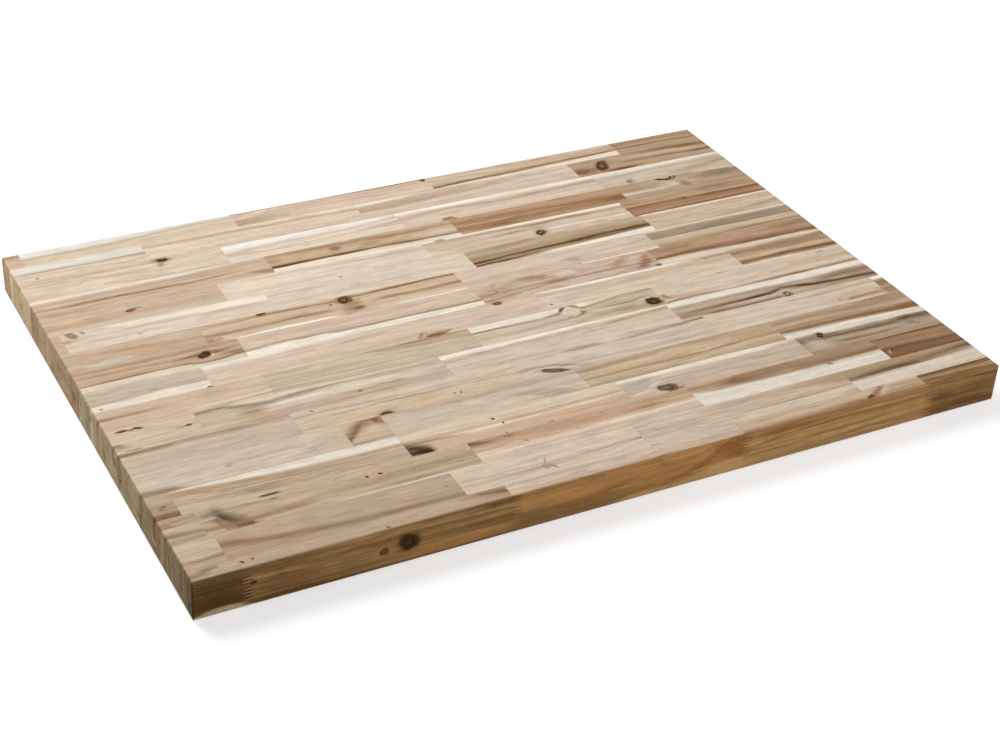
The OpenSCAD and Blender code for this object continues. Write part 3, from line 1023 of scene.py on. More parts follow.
# %% Stave 9
stave = Stave(9, [132, 526, 783], [
    plank(GREY_BEIGE, GREY_BEIGE, ring=9, oil=HONEY),
    plank(PALE_BEIGE, PINK_BEIGE, heart=(15, 90), ring=14, slope=-0.03),
    plank(PALE_BEIGE, PINK_BEIGE, ring=13, oil=PALE),
    plank(TAN, BROWN_TAN, ring=7, oil=PALE),
], knots=[
    knot(123, 39, 3.5, 2.5, core=DARK, halo=GREY_BROWN, spread=1.4),
    knot(378, 38, 11, 4.6, tilt=8, core=WALNUT, halo=BROWN, spread=2.3, open=0.3),
    knot(472, 3, 6, 3.5, core=DARK_LINE, halo=BROWN_TAN, spread=1.8),
])
stave.line(1, [(0, 20, 0.7), (20, 20, 0.3), (127, 18, 0.2)], GREY_TAN, 4)
stave.line(1, [(0, 8, 0.3), (40, 4, 0.5), (60, 2, 0)], GREY_TAN, 3)
stave.border(1, [(0, 28, 1), (60, 26, 1), (90, 24.5, 1), (127, 24, 1)], CREAM, 1.6, side="front")
stave.line(1, [(0, 27, 0.9), (60, 26, 0.5), (90, 24, 0.8), (127, 23.5, 0.9)], GREY_TAN, 3)
stave.line(1, [(62, 22, 0), (70, 22, 0.8), (77, 22, 0)], BROWN_TAN, 3)
stave.dot(1, 9, 36, 2, 1.4, colour=GREY_BROWN)
stave.border(2, [(127, 6, 1), (200, 6, 0.9), (260, 3.5, 0.7), (320, 2, 0)], CREAM, 2.5)
stave.line(2, [(250, 16, 0), (290, 11, 0.6), (340, 9, 0.3), (380, 9, 0)], BROWN_TAN, 3)
stave.line(2, [(300, 33, 0), (350, 29, 0.5), (375, 28, 0.6), (400, 31, 0)], BROWN_TAN, 3)
stave.dot(2, 364, 32, 7, 2.4, tilt=50, colour=BROWN)
stave.dot(2, 394, 34, 8, 1.6, tilt=20, colour=BROWN)
stave.dot(2, 371, 29, 4, 1.4, tilt=-40, colour=BROWN)
stave.line(2, [(380, 34, 0.4), (420, 31, 0.4), (460, 22, 0.4), (500, 20, 0)], TAN, 3)
stave.line(2, [(470, 32, 0), (500, 26, 0.4), (521, 25, 0.4)], GREY_TAN, 3)
stave.border(3, [(521, 2, 0.7), (560, 4.5, 1), (690, 5, 1), (720, 2, 0.5), (740, 0, 0)], CREAM, 1.8)
stave.line(3, [(521, 6, 0.6), (560, 7, 0.7), (620, 8, 0.6), (700, 9, 0.4)], GREY_TAN, 3.5)
stave.line(3, [(530, 17, 0), (560, 18, 0.6), (620, 18, 0.6), (680, 14, 0.6), (720, 11, 0.9),
               (778, 10, 0.9)], TAN, 6)
stave.line(3, [(720, 5, 0), (750, 4, 0.9), (778, 4, 0.6)], GREY_BROWN, 2.4)
stave.dot(3, 744, 6, 3, 1.4, tilt=-35, colour=GREY_BROWN)
stave.dot(3, 527, 29, 2.2, 1.2, tilt=-50)
stave.line(4, [(778, 8, 0.9), (850, 8, 0.8), (914, 5, 0.9)], BROWN, 5)
stave.line(4, [(778, 18, 0.6), (850, 16, 0.6), (880, 14, 0.8), (914, 15, 0.8)], BROWN, 3)
stave.line(4, [(778, 22, 0.9), (850, 23, 0.9), (914, 24, 0.5)], WARM_TAN, 5)
stave.border(4, [(778, 35.5, 1), (830, 34.5, 1), (914, 36.5, 1)], IVORY, 1.6, side="front")
stave.line(4, [(778, 29, 0.7), (830, 30, 0.8), (914, 31, 0.9)], BROWN, 6)
stave.line(4, [(778, 31, 0.8), (830, 30, 0.9), (860, 29, 1), (914, 31, 1)], DARK_LINE, 2.6)
stave.cloud(1, 6, 20, 6, 16, CREAM, 0.5, face="end")
stave.cloud(1, 30, 12, 10, 5, SMOKE, 0.6, 40, face="end")
stave.cloud(1, 14, 28, 5, 5, WALNUT, 0.6, face="end")
stave.sand()

# %% [markdown]
# Stave 10 has the drama of the middle. In its third block a thin grey line under the sapwood
# climbs over a light knot, and further right sits a big black knot with grey brown rings.

# %% Stave 10
stave = Stave(10, [185, 422, 654], [
    plank(PALE_BEIGE, PINK_TAN, ring=13, slope=0.04, oil=PALE),
    plank(OLIVE_CREAM, PALE_BEIGE, ring=5, slope=-0.03, oil=HONEY),
    plank(OLIVE_CREAM, PALE_BEIGE, ring=9),
    plank(PINK_BEIGE, PALE_BEIGE, ring=11, slope=-0.02, oil=PALE),
], knots=[
    knot(540, 11, 9, 8, tilt=-20, core=IVORY, halo=PALE_BEIGE, spread=1.5, open=0.6),
    knot(636, 28, 9, 7.5, tilt=10, core=BLACK, halo=GREY_BROWN, spread=1.6, open=0.25),
    knot(740, 0, 7, 2.5, core=BROWN_TAN, halo=TAN, spread=1.4),
    knot(880, 4, 7, 1.6, core=TAN, halo=TAN, spread=1.3),
])
stave.line(1, [(0, 16, 1), (60, 15, 0.9), (90, 13, 0.5), (120, 12, 0.8), (180, 14, 0.4)], RED_TAN, 5)
stave.line(1, [(0, 16, 1), (50, 16, 0.7), (70, 15, 0)], BROWN, 2)
stave.line(1, [(0, 4, 0.6), (60, 4, 0.6), (120, 2, 0)], GREY_TAN, 4)
stave.line(1, [(20, 36, 0.4), (90, 37, 0.4), (180, 34, 0.3)], RED_TAN, 4)
for y in (15, 21, 26, 32, 36):
    stave.line(2, [(180, y - 2, 0.8), (260, y, 0.5), (417, y + 3, 0.4)], GREY_TAN, 1.8)
stave.border(2, [(270, 0, 0), (300, 3, 0.7), (360, 7, 0.8), (417, 12, 0.9)], TAN, 3)
stave.line(2, [(290, 2, 0), (310, 4, 0.9), (350, 8, 0.6), (417, 12, 0.4)], BROWN_TAN, 3)
stave.line(2, [(320, 2, 0), (345, 2, 0.9), (400, 1, 0.7), (417, 0, 0.5)], BROWN, 2.4)
stave.line(2, [(180, 3, 0.6), (220, 3, 0.4), (260, 2, 0)], GREY_TAN, 3)
stave.border(3, [(417, 10.5, 1), (500, 11.5, 1), (525, 8, 1), (537, 1, 1), (545, 2, 1), (555, 8, 1),
                 (580, 6, 1),
                 (610, 0, 1)], CREAM, 1)
stave.line(3, [(417, 12, 0.9), (480, 12, 0.9), (500, 13, 0.7), (525, 10, 1), (533, 3, 1), (545, 3, 1),
               (553, 9, 1),
               (580, 7, 0.9), (612, 0, 0.8)], GREY_BROWN, 2.4)
stave.dot(3, 532, 4, 5, 3, tilt=30, colour=DARK)
stave.dot(3, 544, 3, 5, 2.6, tilt=-20, colour=WALNUT)
stave.border(3, [(555, 20, 0), (575, 18, 0.5), (620, 16, 0.6), (649, 18, 0.5)], OLIVE_TAN, 2)
stave.line(3, [(417, 26, 0.8), (460, 26, 0.7), (520, 23, 0.9), (535, 21, 0.8), (545, 20, 0)], GREY_TAN, 3)
stave.line(3, [(555, 15, 0), (580, 18, 0.6), (610, 18, 1), (630, 17, 1), (649, 19, 0)], WALNUT, 2.4)
stave.line(3, [(520, 34, 0), (560, 29, 0.8), (600, 30, 1), (625, 32, 0.8)], BROWN_TAN, 7)
stave.cloud(3, 540, 11, 10, 9, IVORY, 0.8)
stave.dot(3, 552, 17, 5, 2.6, tilt=-35, colour=BROWN)
stave.line(3, [(531, 22, 0), (540, 20, 0.9), (553, 15, 1), (562, 18, 0)], BROWN, 2)
stave.dot(3, 533, 21, 6, 1, tilt=15, colour=BROWN)
stave.line(3, [(560, 22, 0), (575, 22, 0.5), (618, 21, 0)], IVORY, 3)
stave.line(4, [(650, 26, 0.9), (668, 30, 0.9), (690, 33, 0.7), (720, 34, 0)], BROWN_TAN, 5)
stave.dot(4, 655, 24, 7, 1.6, tilt=-60, colour=WALNUT)
stave.line(4, [(650, 36, 1), (690, 36, 1), (730, 36.5, 0.3), (760, 36, 0.7), (800, 35, 1), (860, 35, 0.9),
               (914, 36, 0.6)],
           WALNUT, 2.4)
stave.line(4, [(649, 30, 0.4), (760, 27, 0.4), (914, 26, 0.4)], TAN, 4)
stave.line(4, [(790, 18, 0), (830, 17, 0.6), (860, 17, 0.9), (914, 20, 0.9)], TAN, 6)
stave.line(4, [(649, 9, 0.3), (760, 12, 0.3), (914, 8, 0.3)], GREY_TAN, 3)
stave.cloud(1, 12, 24, 14, 20, PINK_BEIGE, 0.5, face="end")
stave.cloud(1, 33, 30, 4, 18, WALNUT, 0.6, face="end")
stave.sand()

# %% [markdown]
# Stave 11 has black pin marks in its first block, soft grey clouds in its second, and in its last
# the longest dark line of the panel. It swings round a ringed knot like a river round a hill.

# %% Stave 11
stave = Stave(11, [97, 368, 650], [
    plank(PALE_BEIGE, PALE_BEIGE, ring=13, oil=HONEY),
    plank(GREY_BEIGE, GREY_TAN, ring=8, slope=0.02, oil=BRIGHTEST_WASH),
    plank(PINK_BEIGE, GREY_BEIGE, ring=13, oil=PALE),
    plank(GREY_BEIGE, GREY_TAN, ring=8),
], knots=[
    knot(788, 34, 6, 5.5, core=DARK_LINE, halo=TAN, spread=1.2, open=1.0),
])
stave.dot(1, 17, 3, 7, 2.6, colour=DARK)
stave.dot(1, 24, 4, 4, 1.6, tilt=-15, colour=BROWN)
stave.dot(1, 32, 3, 6, 2.2, tilt=-15, colour=DARK)
stave.dot(1, 78, 17, 5, 1.8, colour=DARK)
stave.dot(1, 71, 18, 6, 1.4, colour=BROWN_TAN)
stave.dot(1, 3, 26, 9, 3, colour=BROWN)
stave.cloud(1, 6, 28, 12, 6, BROWN_TAN, 0.7)
stave.dot(1, 18, 38, 9, 1.2, colour=BROWN)
stave.line(1, [(0, 10, 0.3), (50, 12, 0.3), (92, 10, 0)], WARM_TAN, 6)
stave.line(2, [(92, 3, 0.9), (120, 2.5, 1), (134, 6, 0.9), (170, 10, 0.9), (200, 8, 1), (260, 8, 0.6),
               (363, 9, 0.4)], GREY_BROWN, 3)
stave.line(2, [(120, 1, 0), (160, 3, 0.7), (230, 2, 0.7), (300, 2, 0.5), (363, 2, 0)], IVORY, 3)
stave.line(2, [(150, 14, 0), (190, 15, 0.7), (260, 17, 0.7), (310, 18, 0.4), (363, 18, 0)], IVORY, 5)
stave.cloud(2, 146, 17, 18, 12, GREY_BROWN, 0.6)
stave.line(2, [(130, 20, 0), (142, 21, 0.9), (165, 20, 0)], BROWN, 3)
stave.cloud(2, 150, 33, 20, 11, BROWN_TAN, 0.7, tilt=-20)
stave.line(2, [(92, 22, 0.8), (110, 22, 0.6), (150, 28, 0.5), (170, 36, 0)], BROWN_TAN, 6)
stave.line(2, [(235, 27, 0), (265, 26, 0.7), (285, 25, 0.9), (305, 25, 0.8), (318, 25, 0)], BROWN, 2.6)
stave.line(2, [(190, 37, 0), (220, 36, 0.7), (250, 36, 0.9), (270, 36, 0.5), (290, 35, 0.9), (310, 33, 0)],
           BROWN, 2)
stave.dot(2, 262, 28, 2.6, 2, colour=DARK_LINE)
stave.line(2, [(92, 24, 0.5), (120, 27, 0.4), (200, 36, 0.5), (270, 36, 0.5), (363, 31, 0.2)], RED_TAN, 5)
stave.border(3, [(363, 8, 1), (450, 7, 1), (560, 4, 0.8), (645, 3, 0.8)], CREAM, 2)
stave.line(3, [(380, 12, 0.4), (460, 10, 0.4), (560, 9, 0.3), (645, 7, 0.5)], BROWN_TAN, 4)
stave.cloud(3, 540, 12, 16, 9, GREY_GREEN, 0.9)
stave.line(3, [(552, 14, 0), (565, 10, 0.8), (620, 8, 0.7), (645, 7, 0.7)], BROWN_TAN, 3)
stave.line(3, [(400, 36, 0.4), (440, 37, 0.5), (500, 37, 0)], GREY_TAN, 4)
stave.border(4, [(645, 9, 1), (760, 9, 1), (820, 13, 1), (914, 12, 1)], CREAM, 3)
stave.line(4, [(645, 13, 0.3), (760, 14, 0.5), (800, 14, 0.3)], GREY_BROWN, 3)
stave.line(4, [(645, 26, 0.5), (700, 26, 0.6), (760, 24, 0.8), (788, 21, 0.9), (830, 27, 0.8),
               (914, 31, 0.9)],
           WALNUT, 5)
stave.line(4, [(645, 26, 0), (700, 26, 0.5), (740, 25, 1), (770, 24, 1), (788, 20, 1), (812, 23, 1),
               (830, 27, 0.9),
               (860, 29, 1), (914, 31, 0.9)], DARK, 3)
stave.line(4, [(645, 32, 0.9), (670, 34, 0.7), (690, 36, 1), (720, 36, 1), (775, 36, 0.9), (785, 36, 0)],
           WALNUT, 3)
stave.line(4, [(645, 30, 0.9), (660, 30, 0.6), (690, 31, 0)], RED_TAN, 3)
stave.line(4, [(700, 31, 0), (740, 31, 0.6), (775, 30, 0.4)], PALE_BEIGE, 3)
stave.border(4, [(800, 40, 0), (840, 33, 0.7), (914, 35, 0.8)], BROWN_TAN, 3, side="front")
stave.line(4, [(815, 23, 0), (850, 19, 0.8), (870, 17, 1), (914, 18, 1)], BROWN, 7)
stave.cloud(4, 725, 20, 70, 4, TAN, 0.7)
stave.line(4, [(795, 20, 0), (820, 25, 1), (860, 28.5, 1), (914, 31, 1)], DARK, 2.2)
stave.cloud(1, 20, 26, 20, 20, CREAM, 0.6, face="end")
stave.dot(1, 31, 15, 7, 2.2, -40, DARK, face="end")
stave.sand()

# %% [markdown]
# Stave 12 is quiet and greyish pink. A knot lies lengthwise in the third block, cut along the
# branch, so it is long and pointed. A short block of 12 mm fills the stave up at the right end.

# %% Stave 12
stave = Stave(12, [184, 433, 675, 903], [
    plank(PINK_BEIGE, GREY_BEIGE, ring=13, oil=HONEY),
    plank(PALE_BEIGE, PINK_BEIGE, ring=11),
    plank(GREY_BEIGE, PINK_BEIGE, ring=12, slope=-0.04, oil=PALE),
    plank(PALE_BEIGE, PINK_BEIGE, ring=13, oil=PALE),
    plank(BROWN_TAN, BROWN, ring=7, oil=BRIGHTEST_WASH),
], knots=[
    knot(270, 38, 7, 3.4, core=DARK, halo=BROWN, spread=1.8, open=0.3),
    knot(464, 33, 15, 4, tilt=-20, core=SMOKE, halo=GREY_TAN, spread=2.0, open=0.15),
    knot(837, 28, 5, 5, core=PALE_BEIGE, halo=BROWN_TAN, spread=1.2, open=0.8),
])
stave.line(1, [(0, 5, 1), (50, 4, 0.9), (60, 3, 0.6), (110, 3, 0.8), (179, 3, 0.4)], BROWN, 3)
stave.cloud(1, 140, 12, 60, 7, PINK_TAN, 0.4)
stave.line(1, [(0, 15, 0.3), (60, 18, 0.5), (120, 17, 0.3), (179, 18, 0.2)], PINK_TAN, 6)
stave.border(1, [(0, 25, 0.5), (179, 24, 0.5)], GREY_BEIGE, 5, side="front")
stave.line(2, [(179, 21, 0), (240, 19, 0.7), (270, 17, 0.9), (320, 19, 0.9), (428, 21, 0.3)], BROWN_TAN,
           2.2)
stave.cloud(2, 280, 28, 60, 8, WARM_TAN, 0.8)
stave.line(2, [(250, 33, 0), (258, 36, 0.8), (270, 35, 1), (290, 34, 0)], WALNUT, 2)
stave.border(2, [(179, 23, 0.3), (240, 23, 0.6), (320, 22, 0.6), (400, 24, 0.5), (428, 24, 0.3)], WARM_TAN,
             3, side="front")
stave.line(2, [(190, 9, 0.5), (250, 10, 0.5), (300, 12, 0.2), (330, 12, 0)], GREY_BROWN, 2)
stave.dot(2, 201, 4, 3, 1.2, tilt=-45, colour=GREY_BROWN)
stave.dot(2, 347, 31, 1.8, 1.6, colour=BROWN)
stave.dot(2, 354, 32, 1.8, 1.6, colour=DARK_LINE)
stave.line(3, [(440, 22, 0.6), (470, 24, 0.8), (495, 33, 0.5), (520, 37, 0)], GREY_BROWN, 3)
stave.line(3, [(480, 4, 0), (505, 5, 0.6), (530, 4, 0.7), (545, 7, 0), (570, 6, 0.6), (600, 4, 0.6),
               (640, 3, 1), (670, 1, 1)], BROWN, 3)
stave.line(3, [(500, 18, 0), (560, 17, 0.3), (670, 17, 0.4)], GREY_TAN, 5)
stave.line(3, [(560, 33, 0), (610, 30, 0.5), (670, 30, 0.4)], GREY_TAN, 4)
stave.line(4, [(780, 12, 0), (820, 10, 0.5), (898, 8, 0.5)], BROWN_TAN, 3)
stave.cloud(4, 870, 24, 34, 10, WARM_TAN, 1.0)
stave.line(4, [(842, 31, 0), (850, 31, 1), (892, 31, 1)], BROWN, 3)
stave.cloud(4, 898, 30, 12, 10, BROWN_TAN, 0.9)
stave.line(4, [(790, 11, 0), (820, 9, 0.8), (898, 7, 0.5)], BROWN_TAN, 2.4)
stave.dot(4, 835, 27, 2.2, 2.2, colour=BROWN)
stave.border(5, [(898, 7, 1), (914, 6, 1)], CREAM, 1.2)
stave.cloud(1, 10, 12, 2.5, 26, DARK, 0.7, face="end")
stave.dot(1, 8, 26, 2.5, 2, 0, DARK, face="end")
stave.cloud(1, 10, 38, 6, 4, CREAM, 0.7, face="end")
stave.sand()

# %% [markdown]
# Stave 13 has the shortest inner block, 45 mm, with a brown band bent like a chevron. The next one
# shows the flames of flat-sawn wood: its heart lay just below the face. The last is brown and cream.

# %% Stave 13
stave = Stave(13, [221, 266, 489, 735], [
    plank(GREY_BEIGE, PALE_BEIGE, heart=(20, 100), ring=13),
    plank(WARM_TAN, PINK_TAN, ring=9),
    plank(GREY_BEIGE, PINK_BEIGE, heart=(22, 60), ring=9, slope=0.05),
    plank(TAN, OLIVE_TAN, heart=(-20, 90), ring=7, slope=0.03, oil=BRIGHTEST_WASH),
    plank(TAN, BROWN_TAN, ring=8, slope=-0.03),
], knots=[
    knot(92, 20, 4, 2.5, core=GREY_TAN, halo=TAN, spread=1.5),
    knot(179, 27, 3.5, 2.4, core=PINK_TAN, halo=TAN, spread=1.6),
    knot(634, 18, 3.5, 3, core=GREY_TAN, halo=TAN, spread=1.5, open=0.8),
])
stave.border(1, [(0, 33, 1), (30, 34, 0.9), (45, 38, 0.6), (60, 40, 0)], OLIVE_TAN, 2, side="front")
stave.line(1, [(0, 34, 0.9), (34, 36, 0.9), (52, 39, 0)], GREY_BROWN, 5)
stave.line(1, [(60, 19, 0), (110, 18, 0.4), (216, 14, 0.3)], GREY_TAN, 3)
stave.cloud(1, 200, 28, 25, 7, WARM_TAN, 0.7)
stave.line(2, [(214, 26, 1), (224, 16, 1), (234, 6, 1), (240, 2, 1), (252, 2, 1)], BROWN, 9)
stave.line(2, [(214, 30, 1), (222, 22, 0.8), (230, 12, 0.7), (238, 3, 0.3)], WALNUT, 3.4)
stave.cloud(2, 256, 6, 6, 8, BROWN, 1.0, tilt=25)
stave.dot(2, 253, 4, 4, 4, colour=WALNUT)
stave.cloud(2, 247, 19, 10, 8, PALE_BEIGE, 0.9)
stave.line(2, [(214, 36, 0.9), (240, 37, 0.8), (261, 37, 0.6)], BROWN_TAN, 2.4)
stave.line(3, [(270, 4, 0.3), (340, 5, 0.5), (420, 5, 0.5), (484, 4, 0.4)], BROWN_TAN, 4)
stave.line(3, [(330, 9, 0), (360, 16, 0.5), (385, 27, 0.5), (400, 35, 0)], IVORY, 3)
for shift in (0, 9, 17, 24):
    run = [(390 + shift, 16, 0), (410 + shift, 20, 0.8), (432 + shift, 30, 1), (446 + shift, 38, 0.3)]
    stave.line(3, run, GREY_TAN, 2.4)
stave.line(4, [(484, 7, 0.7), (520, 6, 0.7), (600, 3, 0.5), (680, 4, 0.6), (730, 3, 0.4)], GREY_BROWN, 4)
stave.line(4, [(495, 16, 0), (530, 21, 0.9), (560, 22, 0.9), (600, 19, 0.9), (628, 15, 0.7)], BROWN_TAN,
           2.6)
stave.line(4, [(636, 24, 0.9), (680, 22, 0.9), (730, 20, 1)], BROWN, 2)
stave.line(4, [(560, 9, 0), (610, 15, 0.6), (700, 9, 0.8), (730, 10, 0.6)], BROWN_TAN, 3)
stave.line(4, [(500, 12, 0), (560, 14, 0.5), (640, 17, 0.6), (730, 15, 0.5)], WARM_TAN, 4)
stave.line(4, [(560, 34, 0), (600, 30, 0.8), (634, 27, 0.8), (660, 29, 0)], BROWN_TAN, 2)
stave.line(4, [(484, 36, 0.3), (560, 36, 0.7), (620, 36, 0.2), (730, 37, 0.8)], GREY_BROWN, 2.4)
stave.cloud(4, 700, 16, 45, 9, BROWN_TAN, 0.8)
stave.cloud(4, 705, 33, 40, 5, BROWN_TAN, 0.6)
stave.border(5, [(730, 28, 1), (800, 31, 1), (860, 34, 1), (914, 38, 1)], CREAM, 2, side="front")
stave.line(5, [(730, 26, 0.8), (800, 27, 0.8), (860, 29, 0.9), (914, 31, 1)], BROWN, 5)
stave.line(5, [(730, 26, 0.9), (800, 27, 0.6), (860, 29, 1), (914, 32, 1)], WALNUT, 2.4)
stave.cloud(5, 905, 28, 30, 6, WALNUT, 0.6)
stave.line(5, [(780, 10, 0), (830, 12, 0.6), (914, 14, 0.5)], BROWN, 2)
stave.cloud(5, 880, 4, 40, 5, BROWN, 0.5)
stave.line(5, [(730, 4, 0.4), (770, 6, 0.4), (820, 6, 0)], GREY_TAN, 4)
stave.cloud(1, 16, 28, 8, 10, PALE_BEIGE, 0.5, face="end")
stave.cloud(1, 24, 29, 6, 5, DARK_LINE, 0.75, face="end")
stave.sand()

# %% [markdown]
# Stave 14 shows a joint that cuts a knot in two: the black wedge at the start of its third block
# has no other half, because the next plank came from elsewhere. Two more dark knots follow.

# %% Stave 14
stave = Stave(14, [31, 266, 517, 743], [
    plank(GREY_TAN, GREY_TAN, ring=9, oil=AMBER),
    plank(TAN, PALE_BEIGE, ring=4, slope=-0.06, oil=HONEY),
    plank(PALE_BEIGE, TAN, ring=9, slope=0.02, oil=BRIGHTEST_WASH),
    plank(PINK_TAN, GREY_BEIGE, ring=12),
    plank(GREY_TAN, OLIVE_TAN, ring=8, oil=HONEY),
], knots=[
    knot(559, 31, 10.5, 6.4, tilt=-14, core=SMOKE, halo=BROWN, spread=1.3, open=0.7),
    knot(768, 7, 4, 5.5, tilt=-30, core=DARK, halo=BROWN, spread=1.4, open=0.5),
    knot(882, 24, 7, 4, tilt=-30, core=GREY_TAN, halo=GREY_BROWN, spread=1.4, open=0.9),
])
stave.border(1, [(0, 14, 0.6), (26, 16, 0.6)], PALE_BEIGE, 3)
stave.border(1, [(0, 34, 0.8), (26, 33, 0.8)], BROWN_TAN, 1.5, side="front")
stave.line(1, [(0, 33, 1), (26, 32, 0.9)], BROWN, 2.4)
stave.line(1, [(0, 37, 1), (26, 36, 1)], WALNUT, 3)
stave.dot(1, 15, 20, 5, 1.6, tilt=25, colour=BROWN)
stave.dot(1, 12, 24, 4, 1.2, tilt=-35, colour=BROWN)
stave.border(2, [(26, 1, 0.9), (60, 4.5, 1), (100, 9, 1), (150, 12, 1), (210, 13, 1), (261, 12.5, 1)],
             CREAM, 1.6)
stave.line(2, [(26, 6, 0.9), (60, 9, 0.9), (100, 13, 0.8), (150, 15.5, 0.7), (210, 16, 0.6),
               (261, 15.5, 0.3)],
           BROWN_TAN, 4.5)
for y in (19, 23, 27, 31):
    stave.line(2, [(40, y - 7, 0.2), (90, y, 0.7), (150, y + 2, 0.6), (230, y + 3, 0.2)], BROWN, 1.4)
stave.border(2, [(26, 22, 0.7), (60, 26, 0.5), (110, 34, 0.3), (160, 38, 0)], GREY_BEIGE, 4, side="front")
stave.line(3, [(270, 19, 0), (330, 21.5, 0.9), (420, 21.5, 0.9), (512, 20, 0.8)], IVORY, 2.6)
stave.border(3, [(261, 12, 0.6), (400, 14, 0.5), (512, 12, 0.6)], PALE_BEIGE, 3)
stave.line(3, [(261, 15, 0.8), (330, 17.5, 0.6), (420, 18, 0.7), (512, 17, 0.8)], BROWN_TAN, 3)
stave.border(3, [(261, 24, 0.6), (330, 25, 0.6), (420, 25, 0.7), (512, 24, 0.8)], TAN, 2, side="front")
stave.line(3, [(330, 32, 0.4), (400, 31, 0.6), (512, 31, 0.8)], RED_TAN, 5)
stave.cloud(3, 268, 24, 22, 9, BROWN, 0.9, tilt=-20)
stave.line(3, [(261, 19, 1), (285, 20, 0.9), (310, 22, 0.6), (330, 23, 0)], BROWN, 2.4)
stave.line(3, [(261, 26, 1), (266, 28, 1), (276, 33, 1), (283, 38, 1), (287, 39, 0)], DARK, 8)
stave.line(3, [(261, 33, 1), (270, 36, 1), (282, 38, 1), (288, 39, 0)], BLACK, 9)
stave.dot(3, 362, 11, 2.4, 1.8, tilt=-40)
stave.dot(3, 369, 21, 1.4, 2, colour=DARK_LINE)
stave.dot(3, 415, 38, 4, 1.2, colour=BROWN)
stave.dot(3, 366, 38, 2.2, 1.4, colour=BROWN)
stave.border(4, [(512, 6, 1), (600, 8, 1), (690, 7, 1), (738, 3, 0.7)], CREAM, 2.5)
stave.cloud(4, 536, 17, 20, 10, GREY_GREEN, 1.0)
stave.line(4, [(512, 32, 0.2), (535, 28, 0.9), (552, 22, 1), (562, 15, 0)], IVORY, 3)
stave.dot(4, 551, 28, 3, 4, tilt=30, colour=DARK)
stave.dot(4, 572, 36, 6, 1.6, colour=RED_BROWN)
stave.cloud(4, 572, 30, 12, 6, BROWN_TAN, 0.6)
stave.line(4, [(600, 15, 0), (650, 16, 0.4), (738, 12, 0.3)], TAN, 5)
stave.border(4, [(590, 40, 0), (620, 35, 0.5), (738, 34, 0.6)], PINK_TAN, 3, side="front")
stave.border(5, [(738, 2, 0.7), (764, 2, 0.8), (775, 5, 1), (830, 6, 1), (914, 9, 1)], CREAM, 2)
stave.line(5, [(770, 11, 0.9), (800, 15, 0.9), (850, 16, 0.8), (885, 14, 0.9), (914, 13, 0.8)], SMOKE, 6)
stave.cloud(5, 880, 13, 12, 7, DARK_LINE, 0.9, tilt=20)
stave.dot(5, 784, 8, 10, 1.4, colour=BROWN)
stave.cloud(5, 757, 24, 18, 13, PINK_BEIGE, 1.0, tilt=-45)
stave.line(5, [(745, 30, 0.6), (765, 22, 0.5), (800, 20, 0.6), (860, 22, 0.6), (880, 22, 0)], PALE_BEIGE, 3)
stave.line(5, [(770, 22, 0), (790, 26, 1), (830, 28, 0.8), (860, 27, 0.5), (875, 24, 0)], BROWN, 3)
stave.line(5, [(868, 32, 0), (880, 27, 0.9), (894, 20, 0)], PALE_BEIGE, 3)
stave.dot(5, 880, 25, 6, 1.6, tilt=40, colour=BROWN)
stave.dot(5, 888, 27, 4, 1.4, tilt=-50, colour=WALNUT)
stave.line(5, [(800, 36, 0.8), (860, 34, 0.6), (914, 35, 0.9)], BROWN_TAN, 4)
stave.cloud(1, 18, 24, 26, 26, GREY_BEIGE, 0.6, face="end")
stave.cloud(1, 35, 3, 7, 4, DARK_LINE, 0.6, face="end")
stave.dot(1, 29, 28, 10, 2.6, -8, CREAM, face="end")
stave.sand()

# %% [markdown]
# Stave 15 turns browner to the right. In its second block a dark swirl marks a branch that was
# grown over, and in the fourth the front half is clean cream sapwood with a soft wavy border.

# %% Stave 15
stave = Stave(15, [42, 325, 580, 818], [
    plank(GREY_TAN, PINK_TAN, ring=8, oil=HONEY),
    plank(TAN, OLIVE_TAN, heart=(-20, 60), ring=8, oil=PALE),
    plank(RED_TAN, TAN, ring=8, oil=BRIGHTEST_WASH),
    plank(TAN, BROWN_TAN, ring=10, oil=HONEY),
    plank(BROWN_TAN, RED_TAN, ring=7, slope=-0.03, oil=DARKEST_WASH),
], knots=[
    knot(368, 20, 4, 3, core=PINK_TAN, halo=TAN, spread=1.5),
    knot(632, 9, 9, 2, core=RED_BROWN, halo=BROWN, spread=3.0, open=0.2),
])
stave.line(1, [(0, 9, 0.6), (37, 7, 0.5)], RED_BROWN, 4)
stave.line(1, [(0, 19, 0.9), (37, 20, 0.9)], PALE_BEIGE, 4.5)
stave.line(1, [(0, 27, 1), (37, 29, 1)], BROWN, 3)
stave.line(1, [(0, 37, 0.7), (37, 36, 0.6)], BROWN_TAN, 3)
stave.cloud(2, 52, 14, 15, 12, GREY_BROWN, 1.0, tilt=-30)
stave.cloud(2, 70, 35, 15, 8, SMOKE, 0.9, tilt=-35)
stave.cloud(2, 45, 32, 10, 9, TAN, 0.8)
stave.line(2, [(46, 14, 0.5), (52, 24, 1), (58, 38, 1), (62, 39, 0)], BROWN, 5)
stave.line(2, [(54, 15, 0.9), (59, 25, 1), (66, 38, 1), (69, 39, 0)], OLIVE_CREAM, 3)
stave.line(2, [(50, 9, 0), (56, 14, 1), (65, 26, 1), (78, 37, 1), (84, 39, 0)], SMOKE, 14)
stave.line(2, [(54, 13, 0), (60, 20, 0.9), (66, 28, 1), (78, 37, 0.9), (83, 39, 0)], DARK, 4)
stave.dot(2, 61, 21, 10, 2.2, tilt=-50, colour=SMOKE)
stave.dot(2, 74, 34, 9, 2.6, tilt=-38, colour=SMOKE)
stave.dot(2, 80, 35, 4, 3, colour=DARK)
stave.line(2, [(62, 34, 0), (70, 38, 1), (84, 38, 0.8), (92, 39, 0)], WALNUT, 4)
